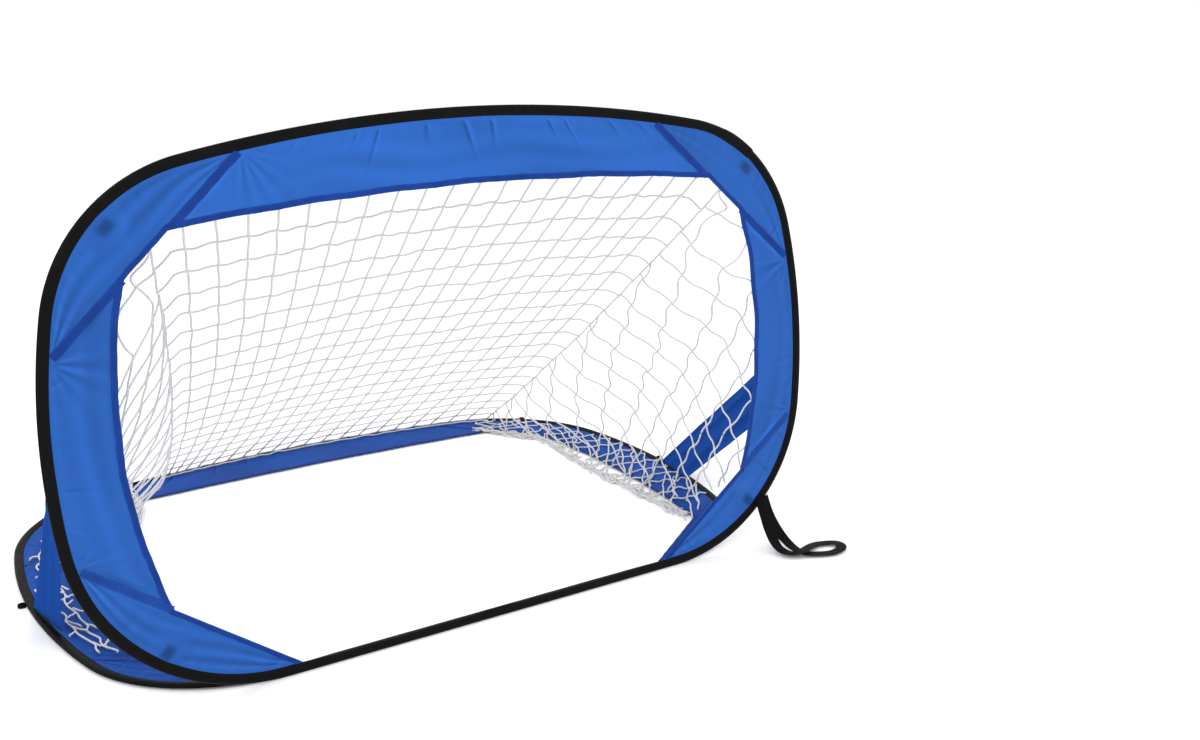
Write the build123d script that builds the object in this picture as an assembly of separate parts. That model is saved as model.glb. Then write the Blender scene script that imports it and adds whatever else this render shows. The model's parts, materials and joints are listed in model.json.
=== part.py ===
from build123d import *
import math
import os

# Pop-up goal: two spring-steel hoops in fabric sleeves, sewn together along one straight edge.
# The base hoop lies flat on the ground and the front hoop stands on its front edge, leaning back.
# Millimetres. X runs across the mouth, Y towards the back of the net, Z up.
# The origin is on the ground, under the middle of the goal's depth and width, strap left out.

# Front hoop outline: width, height, bottom straight, then its four radii from the bottom up.
HOOP_WIDTH = 1200.0
FRONT_HEIGHT = 757.0
FRONT_STRAIGHT = 660.0
FRONT_RADII = (266.0, 930.0, 235.0, 2030.0)
FRONT_LEAN = 3.0

# Base hoop outline, with the same four radii from the front edge to the back.
BASE_DEPTH = 940.0
BASE_STRAIGHT = 660.0
BASE_RADII = (238.0, 1150.0, 300.0, 1820.0)

# Sleeve, wire and ferrule.
SLEEVE_WIDTH = 15.0
SLEEVE_THICK = 7.4
SLEEVE_WALL = 0.6
SLEEVE_ROUND = 2.8
WIRE_DIA = 3.5
FERRULE_DIA = 5.4
FERRULE_BORE = 3.6
FERRULE_LENGTH = 45.0
WIRE_END_GAP = 2.0

# Cloth panels and the tape along their seams and hems.
CLOTH = 0.8
TAPE = 0.6
TAPE_WIDTH = 9.0
SEAM_GAP = 0.2
LAYER_GAP = 0.1

# Front mouth: where the corner seams meet the sleeve side, and the hems between them.
FRONT_UPPER_SEAM = ((330.0, 706.0), (566.0, 489.0))
FRONT_LOWER_SEAM = ((563.0, 208.0), (313.0, 20.0))
FRONT_TOP_HEM = (628.0, 650.0)
FRONT_SIDE_HEM = (478.0, 503.0, 466.0)

# Floor opening of the base hoop, laid out in the same way.
BASE_REAR_SEAM = ((300.0, 925.0), (566.0, 610.0))
BASE_FRONT_SEAM = ((563.0, 208.0), (313.0, 20.0))
BASE_REAR_HEM = (800.0, 815.0)
BASE_SIDE_HEM = (482.0, 496.0, 470.0)

# Peg loops, corner tabs, stays and net.
PEG_LOOP_RADIUS = 5.0
PEG_LOOP_THICK = 1.2
PEG_LOOP_HEIGHT = 10.0
PEG_LOOP_PLACES = (440.0, 830.0)
TAB_SIZE = (22.0, 26.0)
TAB_THICK = 1.2
TAB_PLACES = ((486.0, 632.0), (474.0, 86.0))
STAY_THICK = 1.0
STAY_X = 592.0
STAY_TOP = (245.0, 340.0)
STAY_FOOT = (300.0, 412.0)
NET_THICK = 0.8
NET_TOP_HALF = 440.0
NET_FOOT_HALF = 358.0
NET_FOOT = 880.0
NET_SAG = 60.0
NET_LOW = SLEEVE_THICK + 2.6
TAB_CORNER = 4.0
STAY_TOP_GAP = 1.0
STAY_FOOT_GAP = 0.4

# How the net's sheets stand off the hems and each other.
NET_TOP_DROP = 12.0
NET_TOP_GAP = 6.0
NET_SIDE_GAP = 6.0
NET_MOUTH_GAP = 8.0
NET_SIDE_DROP = 10.0
NET_SIDE_SHORT = 15.0
NET_SIDE_OUT = 18.0
NET_SIDE_BACK = 30.0

# Hem layout: a point well inside the mouth, and how far each bowed hem is drawn past its seams.
MOUTH_INSIDE = 400.0
HEM_OVERRUN = 60.0
FAR_HEM_REACH = 70.0
SIDE_HEM_REACH = 75.0

# Closing strap: a plain tube holds the place of its webbing.
STRAP_TUBE = 8.0
# Share of each shorter leg that a rounded bend of the route may use.
STRAP_BEND_SHARE = 0.45
# Route of the closing strap's webbing, measured from the fold line in X, Y and Z.
STRAP_ROUTE = (
    (512.0, -14.0, 66.0),
    (522.0, -34.0, 42.0),
    (539.0, -58.0, 20.0),
    (566.0, -76.0, 10.0),
    (598.0, -82.0, 9.0),
    (624.0, -100.0, 9.0),
    (612.0, -126.0, 9.0),
    (582.0, -126.0, 9.0),
    (552.0, -106.0, 9.5),
    (526.0, -78.0, 16.0),
    (508.0, -48.0, 36.0),
    (500.0, -20.0, 58.0),
)

# The fold runs along the sewn edge, level with the top of the base sleeve.
FOLD_GAP = 0.05
HOOP_GAP = 0.35
FOLD_Z = SLEEVE_THICK + FOLD_GAP
FOLD_Y = (SLEEVE_THICK + HOOP_GAP - BASE_DEPTH) / 2
BASE_Y = FOLD_Y + FOLD_GAP
BIG = 3000.0


def hoop_side(width, height, straight, radii, inset):
    """Right half of a hoop outline, as points and arc mid points, for a given inset."""
    low, side, high, top = (radius - inset for radius in radii)
    half = width / 2 - inset
    tall = height - 2 * inset
    c_low = Vector(straight / 2, low)
    rise = math.sqrt((side - low) ** 2 - ((half - side) - straight / 2) ** 2)
    c_side = Vector(half - side, low + rise)
    c_top = Vector(0, tall - top)
    span = (c_top - c_side).length
    along = ((side - high) ** 2 - (top - high) ** 2 + span ** 2) / (2 * span)
    across = math.sqrt((side - high) ** 2 - along ** 2)
    unit = (c_top - c_side).normalized()
    options = [c_side + unit * along + Vector(-unit.Y, unit.X) * (across * sign) for sign in (1, -1)]
    c_high = max(options, key=lambda centre: centre.X)
    a_side = math.atan2((c_low - c_side).Y, (c_low - c_side).X)
    a_high = math.atan2((c_high - c_side).Y, (c_high - c_side).X)
    a_top = math.atan2((c_high - c_top).Y, (c_high - c_top).X)
    shift = Vector(0, inset)

    def arc(centre, radius, start, end):
        angles = (start, (start + end) / 2, end)
        return [centre + shift + Vector(radius * math.cos(a), radius * math.sin(a)) for a in angles]

    return [
        arc(c_low, low, -math.pi / 2, a_side),
        arc(c_side, side, a_side, a_high),
        arc(c_high, high, a_high, a_top),
        arc(c_top, top, a_top, math.pi / 2),
    ]


def hoop_edges(width, height, straight, radii, inset, gap=0.0):
    """The outline's edges in order, from the middle of the bottom round to the middle again."""
    arcs = hoop_side(width, height, straight, radii, inset)
    start = Vector(gap / 2, inset)
    edges = [Line(start, arcs[0][0])]
    edges += [ThreePointArc(*points) for points in arcs]
    for points in reversed(arcs):
        edges.append(ThreePointArc(*[Vector(-p.X, p.Y) for p in reversed(points)]))
    end = Vector(-gap / 2, inset)
    edges.append(Line(edges[-1] @ 1, end))
    return edges


def hoop_face(shape, inset):
    return make_face(Wire(hoop_edges(*shape, inset)))


FRONT_SHAPE = (HOOP_WIDTH, FRONT_HEIGHT, FRONT_STRAIGHT, FRONT_RADII)
BASE_SHAPE = (HOOP_WIDTH, BASE_DEPTH, BASE_STRAIGHT, BASE_RADII)
FRONT_PLACE = (
    Pos(0, FOLD_Y, FOLD_Z)
    * Rot(X=90 - FRONT_LEAN)
    * Pos(0, -FOLD_Z, SLEEVE_THICK / 2 + FOLD_GAP)
)
BASE_PLACE = Pos(0, BASE_Y, SLEEVE_THICK / 2)


def slab(face, low, high):
    """A flat layer between two heights over the hoop's middle plane."""
    return Pos(0, 0, low) * extrude(face, high - low)


def rounded_ring(shape, wall):
    """Flat ring with rounded edges, standing in from the sleeve's surface by wall all round."""
    half = SLEEVE_THICK / 2 - wall
    ring = slab(hoop_face(shape, wall) - hoop_face(shape, SLEEVE_WIDTH - wall), -half, half)
    ring = fillet(ring.faces().group_by(Axis.Z)[0].edges(), SLEEVE_ROUND - wall)
    return fillet(ring.faces().group_by(Axis.Z)[-1].edges(), SLEEVE_ROUND - wall)


def sleeve(shape):
    """Fabric tube round the hoop: a flat ring with rounded edges, hollow for the wire."""
    return rounded_ring(shape, 0) - rounded_ring(shape, SLEEVE_WALL)


def wire(shape):
    """Spring-steel wire, one turn with its two ends meeting in the ferrule."""
    path = Wire(hoop_edges(*shape, SLEEVE_WIDTH / 2, WIRE_END_GAP))
    section = Plane(origin=path @ 0, z_dir=path % 0) * Circle(WIRE_DIA / 2)
    return sweep(section, path=path)


def ferrule():
    """Crimped steel tube over the wire's two ends."""
    tube = Cylinder(FERRULE_DIA / 2, FERRULE_LENGTH) - Cylinder(FERRULE_BORE / 2, FERRULE_LENGTH)
    return Pos(0, SLEEVE_WIDTH / 2, 0) * Rot(Y=90) * tube


def seam_ends(seam, side):
    return [Vector(side * x, y) for x, y in seam]


def strip(start, end, low, high):
    """A long band beside the line from start to end, from low to high on its outer side."""
    along = (end - start).normalized()
    out = Vector(along.Y, -along.X)
    middle = (start + end) / 2
    if out.dot(middle - Vector(0, MOUTH_INSIDE)) < 0:
        out = out * -1
    corners = [
        middle - along * BIG + out * low,
        middle + along * BIG + out * low,
        middle + along * BIG + out * high,
        middle - along * BIG + out * high,
    ]
    return make_face(Polyline(*corners, close=True))


def band_beyond(points, outward, low, high):
    """Area from low to high outside a bowed hem through three points."""
    first, middle, last = points
    near = [p + outward * low for p in (first, middle, last)]
    along = (last - first).normalized() * HEM_OVERRUN
    arc = ThreePointArc(*near)
    start = arc @ 0 - along
    end = arc @ 1 + along
    far = outward * (high - low)
    if high < BIG:
        back = ThreePointArc(arc @ 1 + far, near[1] + far, arc @ 0 + far)
        edges = [Line(start, arc @ 0), arc, Line(arc @ 1, end), Line(end, end + far)]
        edges += [Line(end + far, back @ 0), back, Line(back @ 1, start + far), Line(start + far, start)]
    else:
        edges = [Line(start, arc @ 0), arc, Line(arc @ 1, end), Line(end, end + far)]
        edges += [Line(end + far, start + far), Line(start + far, start)]
    return make_face(Wire(edges))


def cover(shape, far_seam, near_seam, far_hem, side_hem):
    """Flat outlines of one hoop's cloth panels and tapes, by short name."""
    ground = hoop_face(shape, SLEEVE_WIDTH + SEAM_GAP)
    seams = {}
    for side, word in ((-1, "left"), (1, "right")):
        seams["far_" + word] = seam_ends(far_seam, side)
        seams["near_" + word] = seam_ends(near_seam, side)
    beyond_all = None
    tapes_all = None
    faces = {}
    for name, (start, end) in seams.items():
        faces[name + "_corner"] = ground & strip(start, end, SEAM_GAP / 2, BIG)
        tape = ground & strip(start, end, -TAPE_WIDTH / 2, TAPE_WIDTH / 2)
        faces[name + "_seam_tape"] = tape
        beyond = strip(start, end, -SEAM_GAP / 2, BIG)
        beyond_all = beyond if beyond_all is None else beyond_all + beyond
        wide = strip(start, end, -TAPE_WIDTH / 2 - SEAM_GAP, BIG)
        tapes_all = wide if tapes_all is None else tapes_all + wide
    middle = ground - beyond_all
    inside = ground - tapes_all
    (fx, _), _ = far_seam
    edge_x = fx + FAR_HEM_REACH
    far_points = [Vector(-edge_x, far_hem[0]), Vector(0, far_hem[1]), Vector(edge_x, far_hem[0])]
    up = Vector(0, 1)
    faces["far_panel"] = middle & band_beyond(far_points, up, 0, BIG)
    faces["far_hem_tape"] = inside & band_beyond(far_points, up, 0, TAPE_WIDTH)
    high_y = far_seam[1][1] + SIDE_HEM_REACH
    low_y = near_seam[0][1] - SIDE_HEM_REACH
    for side, word in ((-1, "left"), (1, "right")):
        top_x, mid_x, low_x = side_hem
        points = [
            Vector(side * top_x, high_y),
            Vector(side * mid_x, (high_y + low_y) / 2),
            Vector(side * low_x, low_y),
        ]
        out = Vector(side, 0)
        faces[word + "_panel"] = middle & band_beyond(points, out, 0, BIG)
        faces[word + "_hem_tape"] = inside & band_beyond(points, out, 0, TAPE_WIDTH)
    return faces


def solids_of(faces, place, rename):
    """Panels as cloth in the hoop's middle plane, tapes as a thin layer on the outer face."""
    made = {}
    for name, face in faces.items():
        if name.endswith("tape"):
            low = CLOTH / 2 + LAYER_GAP
            solid = slab(face, low, low + TAPE)
        else:
            solid = slab(face, -CLOTH / 2, CLOTH / 2)
        made[rename(name)] = place * solid
    return made


def front_name(name):
    return "front_" + name.replace("far_panel", "top_panel").replace("far_hem", "top_hem").replace(
        "far_", "upper_").replace("near_", "lower_")


def base_name(name):
    return "base_" + name.replace("far_", "rear_").replace("near_", "front_")


def corner_tabs():
    """Small webbing tabs sewn behind the four front corners, lying against the cloth."""
    tabs = []
    back = -CLOTH / 2 - LAYER_GAP - TAB_THICK
    for x, y in TAB_PLACES:
        for side in (-1, 1):
            angle = math.degrees(math.atan2(y - FRONT_HEIGHT / 2, side * x))
            outline = Pos(side * x, y) * Rot(Z=angle) * RectangleRounded(*TAB_SIZE, TAB_CORNER)
            tabs.append(FRONT_PLACE * slab(outline, back, back + TAB_THICK))
    return tabs


def hoop_point(shape, y_wanted):
    """Half width of a hoop's outer edge at a distance along its height, and the way it faces."""
    path = Wire(hoop_edges(*shape, 0))
    level = Line(Vector(0, y_wanted), Vector(BIG, y_wanted))
    hit = [v for v in path.intersect(level).vertices() if v.X > 0][0]
    where = path.param_at_point(Vector(hit.X, hit.Y))
    tangent = path % where
    return Vector(hit.X, hit.Y), Vector(tangent.Y, -tangent.X)


def peg_loops():
    """Four rings of webbing on edge, sewn outside the base sleeve for ground pegs."""
    outer = PEG_LOOP_RADIUS + PEG_LOOP_THICK
    ring = Cylinder(outer, PEG_LOOP_HEIGHT) - Cylinder(PEG_LOOP_RADIUS, PEG_LOOP_HEIGHT)
    loops = []
    for x, y in peg_points():
        place = Pos(x, BASE_Y + y, PEG_LOOP_HEIGHT / 2)
        loops.append(place * ring)
    return loops


def peg_points():
    """Centres of the peg loops, a little clear of the sleeve's outer edge."""
    reach = PEG_LOOP_RADIUS + PEG_LOOP_THICK + LAYER_GAP
    points = []
    for y in PEG_LOOP_PLACES:
        edge, out = hoop_point(BASE_SHAPE, y)
        spot = edge + out * reach
        points += [(-spot.X, spot.Y), (spot.X, spot.Y)]
    return points


def stay(side):
    """Cloth stay from the front hoop's side down and back to the base hoop's side."""
    lean = math.tan(math.radians(FRONT_LEAN))
    y0 = FOLD_Y + STAY_TOP_GAP
    low, high = STAY_TOP
    front, rear = (BASE_Y + y for y in STAY_FOOT)
    foot = SLEEVE_THICK + STAY_FOOT_GAP
    points = [(y0 + low * lean, low), (y0 + high * lean, high), (rear, foot), (front, foot)]
    outline = make_face(Polyline(*[Vector(0, y, z) for y, z in points], close=True))
    x = side * STAY_X
    return Pos(x - STAY_THICK / 2, 0, 0) * extrude(outline, amount=STAY_THICK, dir=(1, 0, 0))


def net_back():
    """Sloping back of the net, sagging a little, from the top hem to the rear sleeve."""
    lean = math.radians(FRONT_LEAN)
    tall = FRONT_TOP_HEM[1] - NET_TOP_DROP
    top = Vector(0, FOLD_Y + tall * math.sin(lean) + NET_TOP_GAP, tall * math.cos(lean))
    foot = Vector(0, BASE_Y + NET_FOOT, NET_LOW)
    down = (foot - top).normalized()
    under = Vector(0, down.Z, -down.Y)
    middle = (top + foot) / 2 + under * NET_SAG
    arc = ThreePointArc(top, middle, foot)
    inner = ThreePointArc(foot + under * NET_THICK, middle + under * NET_THICK, top + under * NET_THICK)
    edges = [arc, Line(foot, inner @ 0), inner, Line(inner @ 1, top)]
    sheet = extrude(make_face(Wire(edges)), amount=2 * NET_TOP_HALF, dir=(1, 0, 0))
    plan = [(-NET_TOP_HALF, FOLD_Y), (NET_TOP_HALF, FOLD_Y), (NET_FOOT_HALF, foot.Y), (-NET_FOOT_HALF, foot.Y)]
    cutter = extrude(make_face(Polyline(*plan, close=True)), FRONT_HEIGHT)
    return Pos(-NET_TOP_HALF, 0, 0) * sheet & cutter


def net_side(side):
    """One side of the net: a flat sheet from the slope's edge to the mouth's side and the floor."""
    clear = NET_SIDE_GAP
    front = FOLD_Y + NET_MOUTH_GAP
    lean = math.tan(math.radians(FRONT_LEAN))
    high = FRONT_TOP_HEM[0] - NET_SIDE_DROP
    corners = [
        Vector(side * (NET_TOP_HALF + clear), front + high * lean, high),
        Vector(side * (NET_FOOT_HALF + clear), BASE_Y + NET_FOOT - NET_SIDE_SHORT, NET_LOW),
        Vector(side * (FRONT_SIDE_HEM[2] + NET_SIDE_OUT), front + NET_SIDE_BACK, NET_LOW),
    ]
    face = make_face(Polyline(*corners, close=True))
    return extrude(face, amount=NET_THICK)


def strap():
    """Tube along the closing strap's route, from the sleeve round its end loop and back."""
    points = [Vector(x, FOLD_Y + y, z) for x, y, z in STRAP_ROUTE]
    radii = []
    for before, here, after in zip(points, points[1:], points[2:]):
        run_in = here - before
        run_out = after - here
        turn = math.radians(run_in.get_angle(run_out))
        radii.append(STRAP_BEND_SHARE * min(run_in.length, run_out.length) / math.tan(turn / 2))
    path = FilletPolyline(*points, radius=radii)
    tube = sweep(Plane(origin=path @ 0, z_dir=path % 0) * Circle(STRAP_TUBE / 2), path=path)
    print("strap radii", [round(r, 1) for r in radii], "length", round(path.length, 1))
    filled = math.pi * STRAP_TUBE ** 2 / 4 * path.length
    print("strap volume", round(tube.volume), "section x length", round(filled))
    return tube


def front_cover():
    return cover(FRONT_SHAPE, FRONT_UPPER_SEAM, FRONT_LOWER_SEAM, FRONT_TOP_HEM, FRONT_SIDE_HEM)


def base_cover():
    return cover(BASE_SHAPE, BASE_REAR_SEAM, BASE_FRONT_SEAM, BASE_REAR_HEM, BASE_SIDE_HEM)


def build():
    nodes = {
        "base_hoop_sleeve": BASE_PLACE * sleeve(BASE_SHAPE),
        "base_hoop_wire": BASE_PLACE * wire(BASE_SHAPE),
        "base_wire_ferrule": BASE_PLACE * ferrule(),
        "base_peg_loops": Compound(children=peg_loops()),
        "front_hoop_sleeve": FRONT_PLACE * sleeve(FRONT_SHAPE),
        "front_hoop_wire": FRONT_PLACE * wire(FRONT_SHAPE),
        "front_wire_ferrule": FRONT_PLACE * ferrule(),
        "front_corner_tabs": Compound(children=corner_tabs()),
        "net_back": net_back(),
        "net_left_side": net_side(-1),
        "net_right_side": net_side(1),
        "left_stay": stay(-1),
        "right_stay": stay(1),
        "closing_strap": strap(),
    }
    nodes.update(solids_of(front_cover(), FRONT_PLACE, front_name))
    nodes.update(solids_of(base_cover(), BASE_PLACE, base_name))
    return nodes


os.makedirs("parts", exist_ok=True)
for node, solid in build().items():
    export_step(solid, f"parts/{node}.step")
    box = solid.bounding_box()
    print(node, [round(v) for v in (*box.min, *box.max)])
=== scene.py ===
"""Pop-up goal: cloth, net, tapes and webbing round the CAD model's two spring-wire hoops.

Metres. X runs across the mouth, Y towards the back of the net, Z up. Every cloth piece is a surface
worked out on a grid, and every twine a profile carried along its line.
"""

import json
import math

import bpy
import numpy as np
from bpy.props import FloatProperty, FloatVectorProperty, IntProperty, PointerProperty
from mathutils import Matrix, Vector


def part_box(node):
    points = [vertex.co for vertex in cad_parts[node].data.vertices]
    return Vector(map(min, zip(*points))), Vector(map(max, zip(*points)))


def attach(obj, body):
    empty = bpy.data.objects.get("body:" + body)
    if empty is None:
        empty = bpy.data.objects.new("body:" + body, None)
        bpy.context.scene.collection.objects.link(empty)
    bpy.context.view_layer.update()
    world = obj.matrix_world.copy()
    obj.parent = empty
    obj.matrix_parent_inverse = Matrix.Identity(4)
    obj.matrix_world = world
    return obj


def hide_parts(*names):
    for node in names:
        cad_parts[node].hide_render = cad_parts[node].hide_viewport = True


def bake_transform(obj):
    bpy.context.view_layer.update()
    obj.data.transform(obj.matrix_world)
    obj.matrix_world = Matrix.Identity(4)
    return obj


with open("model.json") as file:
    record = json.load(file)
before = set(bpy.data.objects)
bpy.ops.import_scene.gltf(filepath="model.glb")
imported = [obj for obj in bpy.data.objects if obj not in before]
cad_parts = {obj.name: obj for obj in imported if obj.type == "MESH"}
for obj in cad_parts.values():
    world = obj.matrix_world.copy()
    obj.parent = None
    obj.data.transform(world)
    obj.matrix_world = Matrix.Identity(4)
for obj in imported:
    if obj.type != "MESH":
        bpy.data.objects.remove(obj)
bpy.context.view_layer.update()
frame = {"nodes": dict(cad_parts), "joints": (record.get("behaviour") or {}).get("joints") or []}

bl_info = {
    "name": "Pop-up goal",
    "version": (1, 0, 0),
    "blender": (4, 5, 0),
    "location": "3D View > Sidebar > Goal",
    "description": "Cloth, net and webbing of a folding play goal",
    "category": "Add Mesh",
}

FOLD_JOINT = frame["joints"]["front_fold"] if isinstance(frame["joints"], dict) else frame["joints"][0]
BASE_LOW, BASE_HIGH = (np.array(corner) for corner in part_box("base_hoop_sleeve"))
FRONT_LOW, FRONT_HIGH = (np.array(corner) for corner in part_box("front_hoop_sleeve"))
SLEEVE_THICK = BASE_HIGH[2] - BASE_LOW[2]
FOLD_Y = BASE_LOW[1] - 0.00005
FOLD_Z = SLEEVE_THICK + 0.00005


# ---------------------------------------------------------------- sizes and colours

class HoopSizes(bpy.types.PropertyGroup):
    """Outlines of the two hoops and their sleeves."""

    width: FloatProperty(
        name="Hoop width", description="Across both hoops, outside the sleeves", unit="LENGTH",
        default=float(BASE_HIGH[0] - BASE_LOW[0]))
    front_height: FloatProperty(
        name="Front height", description="Front hoop, measured along its own plane", unit="LENGTH",
        default=0.757)
    base_depth: FloatProperty(
        name="Base depth", description="Base hoop from front to back", unit="LENGTH",
        default=float(BASE_HIGH[1] - BASE_LOW[1]))
    lean: FloatProperty(
        name="Lean", description="How far the front hoop leans back", unit="ROTATION",
        default=math.radians(3.0))
    straight: FloatProperty(
        name="Straight", description="Straight stretch where the hoops are joined", unit="LENGTH",
        default=0.66)
    front_radii: FloatVectorProperty(
        name="Front radii", description="Front hoop's arcs, from its bottom corner to its top",
        size=4, unit="LENGTH", default=(0.266, 0.93, 0.235, 2.03))
    base_radii: FloatVectorProperty(
        name="Base radii", description="Base hoop's arcs, from its front corner to its rear edge",
        size=4, unit="LENGTH", default=(0.238, 1.15, 0.3, 1.82))
    sleeve_width: FloatProperty(
        name="Sleeve width", description="Flat width of the cloth sleeve", unit="LENGTH", default=0.015)
    pinch: FloatProperty(
        name="Pinched width", description="Front sleeve's width along the joined edge", unit="LENGTH",
        default=0.0122)


class ClothSizes(bpy.types.PropertyGroup):
    """Seams, hems, tapes and stays."""

    front_upper_seam: FloatVectorProperty(
        name="Front upper seam", description="Ends of the seam, as x and height pairs",
        size=4, unit="LENGTH", default=(0.33, 0.706, 0.566, 0.489))
    front_lower_seam: FloatVectorProperty(
        name="Front lower seam", description="Ends of the seam, as x and height pairs",
        size=4, unit="LENGTH", default=(0.563, 0.208, 0.313, 0.02))
    front_top_hem: FloatVectorProperty(
        name="Top hem", description="Height of the top hem at its ends and middle",
        size=2, unit="LENGTH", default=(0.628, 0.65))
    front_side_hem: FloatVectorProperty(
        name="Side hem", description="Half width of the mouth, high, middle and low",
        size=3, unit="LENGTH", default=(0.478, 0.503, 0.466))
    base_rear_seam: FloatVectorProperty(
        name="Base rear seam", description="Ends of the seam, as x and depth pairs",
        size=4, unit="LENGTH", default=(0.3, 0.925, 0.566, 0.61))
    base_front_seam: FloatVectorProperty(
        name="Base front seam", description="Ends of the seam, as x and depth pairs",
        size=4, unit="LENGTH", default=(0.563, 0.208, 0.313, 0.02))
    base_rear_hem: FloatVectorProperty(
        name="Rear hem", description="Depth of the rear hem at its ends and middle",
        size=2, unit="LENGTH", default=(0.8, 0.815))
    base_side_hem: FloatVectorProperty(
        name="Base side hem", description="Half width of the floor opening, rear, middle and front",
        size=3, unit="LENGTH", default=(0.482, 0.496, 0.47))
    tape_width: FloatProperty(
        name="Tape width", description="Binding on the seams", unit="LENGTH", default=0.0105)
    hem_width: FloatProperty(
        name="Hem width", description="Binding on the hems", unit="LENGTH", default=0.0082)
    pucker: FloatProperty(
        name="Pucker", description="Depth of the gathers and creases", unit="LENGTH", default=0.0014)
    cloth: FloatProperty(
        name="Cloth", description="Thickness of the cloth", unit="LENGTH", default=0.0005)


class NetSizes(bpy.types.PropertyGroup):
    """The knotted net."""

    bar: FloatProperty(
        name="Mesh bar", description="Twine between two knots of the back", unit="LENGTH", default=0.0425)
    rows: IntProperty(name="Rows", description="Meshes down the slope of the back", default=19)
    twine: FloatProperty(
        name="Twine", description="Diameter of the twine", unit="LENGTH", default=0.0031)
    sag: FloatProperty(
        name="Sag", description="How far the back hangs under a straight line", unit="LENGTH",
        default=0.034)
    waist: FloatProperty(
        name="Waist", description="Share of the back's half width by which its middle is drawn in",
        default=0.085)
    top_half: FloatProperty(
        name="Top half width", description="Half the width of the back along the mouth", unit="LENGTH",
        default=0.441)
    foot_left: FloatProperty(
        name="Left foot", description="Where the back's left edge meets the rear edge, from the middle",
        unit="LENGTH", default=0.315)
    foot_right: FloatProperty(
        name="Right foot", description="Where the back's right edge meets the rear edge, from the middle",
        unit="LENGTH", default=0.425)


class TrimSizes(bpy.types.PropertyGroup):
    """Strap, tabs and peg loops."""

    strap_width: FloatProperty(
        name="Strap width", description="Webbing of the closing strap", unit="LENGTH", default=0.0175)
    strap_thick: FloatProperty(
        name="Strap thickness", description="Thickness of the webbing", unit="LENGTH", default=0.0014)
    tab_size: FloatVectorProperty(
        name="Corner tab", description="Patch behind the cloth, across and up", size=2,
        unit="LENGTH", default=(0.022, 0.026))
    tab_shadows: FloatVectorProperty(
        name="Tab shadows", description="Where the patches show through, as x and height pairs",
        size=4, unit="LENGTH", default=(0.490, 0.637, 0.482, 0.079))
    tab_places: FloatVectorProperty(
        name="Tab places", description="Middles of the upper and lower patch, as x and height pairs",
        size=4, unit="LENGTH", default=(0.486, 0.632, 0.474, 0.086))
    loop_radius: FloatProperty(
        name="Peg loop radius", description="Bore of a peg loop", unit="LENGTH", default=0.005)


class GoalColours(bpy.types.PropertyGroup):
    """Colours of the goal."""

    front_cloth: FloatVectorProperty(
        name="Front cloth", description="Cloth of the front hoop", subtype="COLOR", size=3,
        min=0, max=1, default=(0.0165, 0.088, 0.35))
    # painted shade: the same cloth as the front's, given a darker colour for the dimmer light on the base's panels and
    # the stays
    base_cloth: FloatVectorProperty(
        name="Base cloth", description="Cloth of the base hoop and stays", subtype="COLOR", size=3,
        min=0, max=1, default=(0.0135, 0.066, 0.315))
    tape: FloatVectorProperty(
        name="Tape", description="Binding tape and hems", subtype="COLOR", size=3,
        min=0, max=1, default=(0.006, 0.034, 0.20))
    low_tape: FloatVectorProperty(
        name="Low tape", description="Binding on the lower and base seams", subtype="COLOR", size=3,
        min=0, max=1, default=(0.009, 0.045, 0.235))
    sleeve: FloatVectorProperty(
        name="Sleeve", description="Hoop sleeves", subtype="COLOR", size=3,
        min=0, max=1, default=(0.0028, 0.0028, 0.0026))
    webbing: FloatVectorProperty(
        name="Webbing", description="Strap, tabs and peg loops", subtype="COLOR", size=3,
        min=0, max=1, default=(0.0028, 0.0028, 0.003))
    twine: FloatVectorProperty(
        name="Twine", description="Net twine", subtype="COLOR", size=3,
        min=0, max=1, default=(0.66, 0.66, 0.68))
    floor: FloatVectorProperty(
        name="Floor", description="Studio floor", subtype="COLOR", size=3,
        min=0, max=1, default=(0.97, 0.97, 0.97))


def hoops():
    return bpy.context.scene.goal_hoops


def cloths():
    return bpy.context.scene.goal_cloths


def nets():
    return bpy.context.scene.goal_nets


def trims():
    return bpy.context.scene.goal_trims


def colours():
    return bpy.context.scene.goal_colours


# ---------------------------------------------------------------- mesh building

def make_object(name, points, faces, uvs, material, ends=None):
    """A smooth mesh from points, four-sided faces, a UV pair for each corner, and end faces."""
    rings = [faces] if ends is None else [faces, ends]
    corner_lists = [ring.ravel() for ring in rings]
    sizes = np.concatenate([np.full(len(ring), ring.shape[1]) for ring in rings])
    corners = np.concatenate(corner_lists).astype(np.int32)
    starts = np.concatenate(([0], np.cumsum(sizes)[:-1])).astype(np.int32)
    mesh = bpy.data.meshes.new(name)
    mesh.vertices.add(len(points))
    mesh.vertices.foreach_set("co", np.ascontiguousarray(points, np.float32).ravel())
    mesh.loops.add(len(corners))
    mesh.loops.foreach_set("vertex_index", corners)
    mesh.polygons.add(len(starts))
    mesh.polygons.foreach_set("loop_start", starts)
    mesh.polygons.foreach_set("use_smooth", np.ones(len(starts), bool))
    mesh.update(calc_edges=True)
    layer = mesh.uv_layers.new(name="UVMap")
    flat = np.zeros((len(corners), 2), np.float32)
    flat[: uvs.shape[0]] = uvs
    layer.data.foreach_set("uv", flat.ravel())
    mesh.validate()
    mesh.materials.append(material)
    piece = bpy.data.objects.new(name, mesh)
    bpy.context.scene.collection.objects.link(piece)
    return piece


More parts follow.
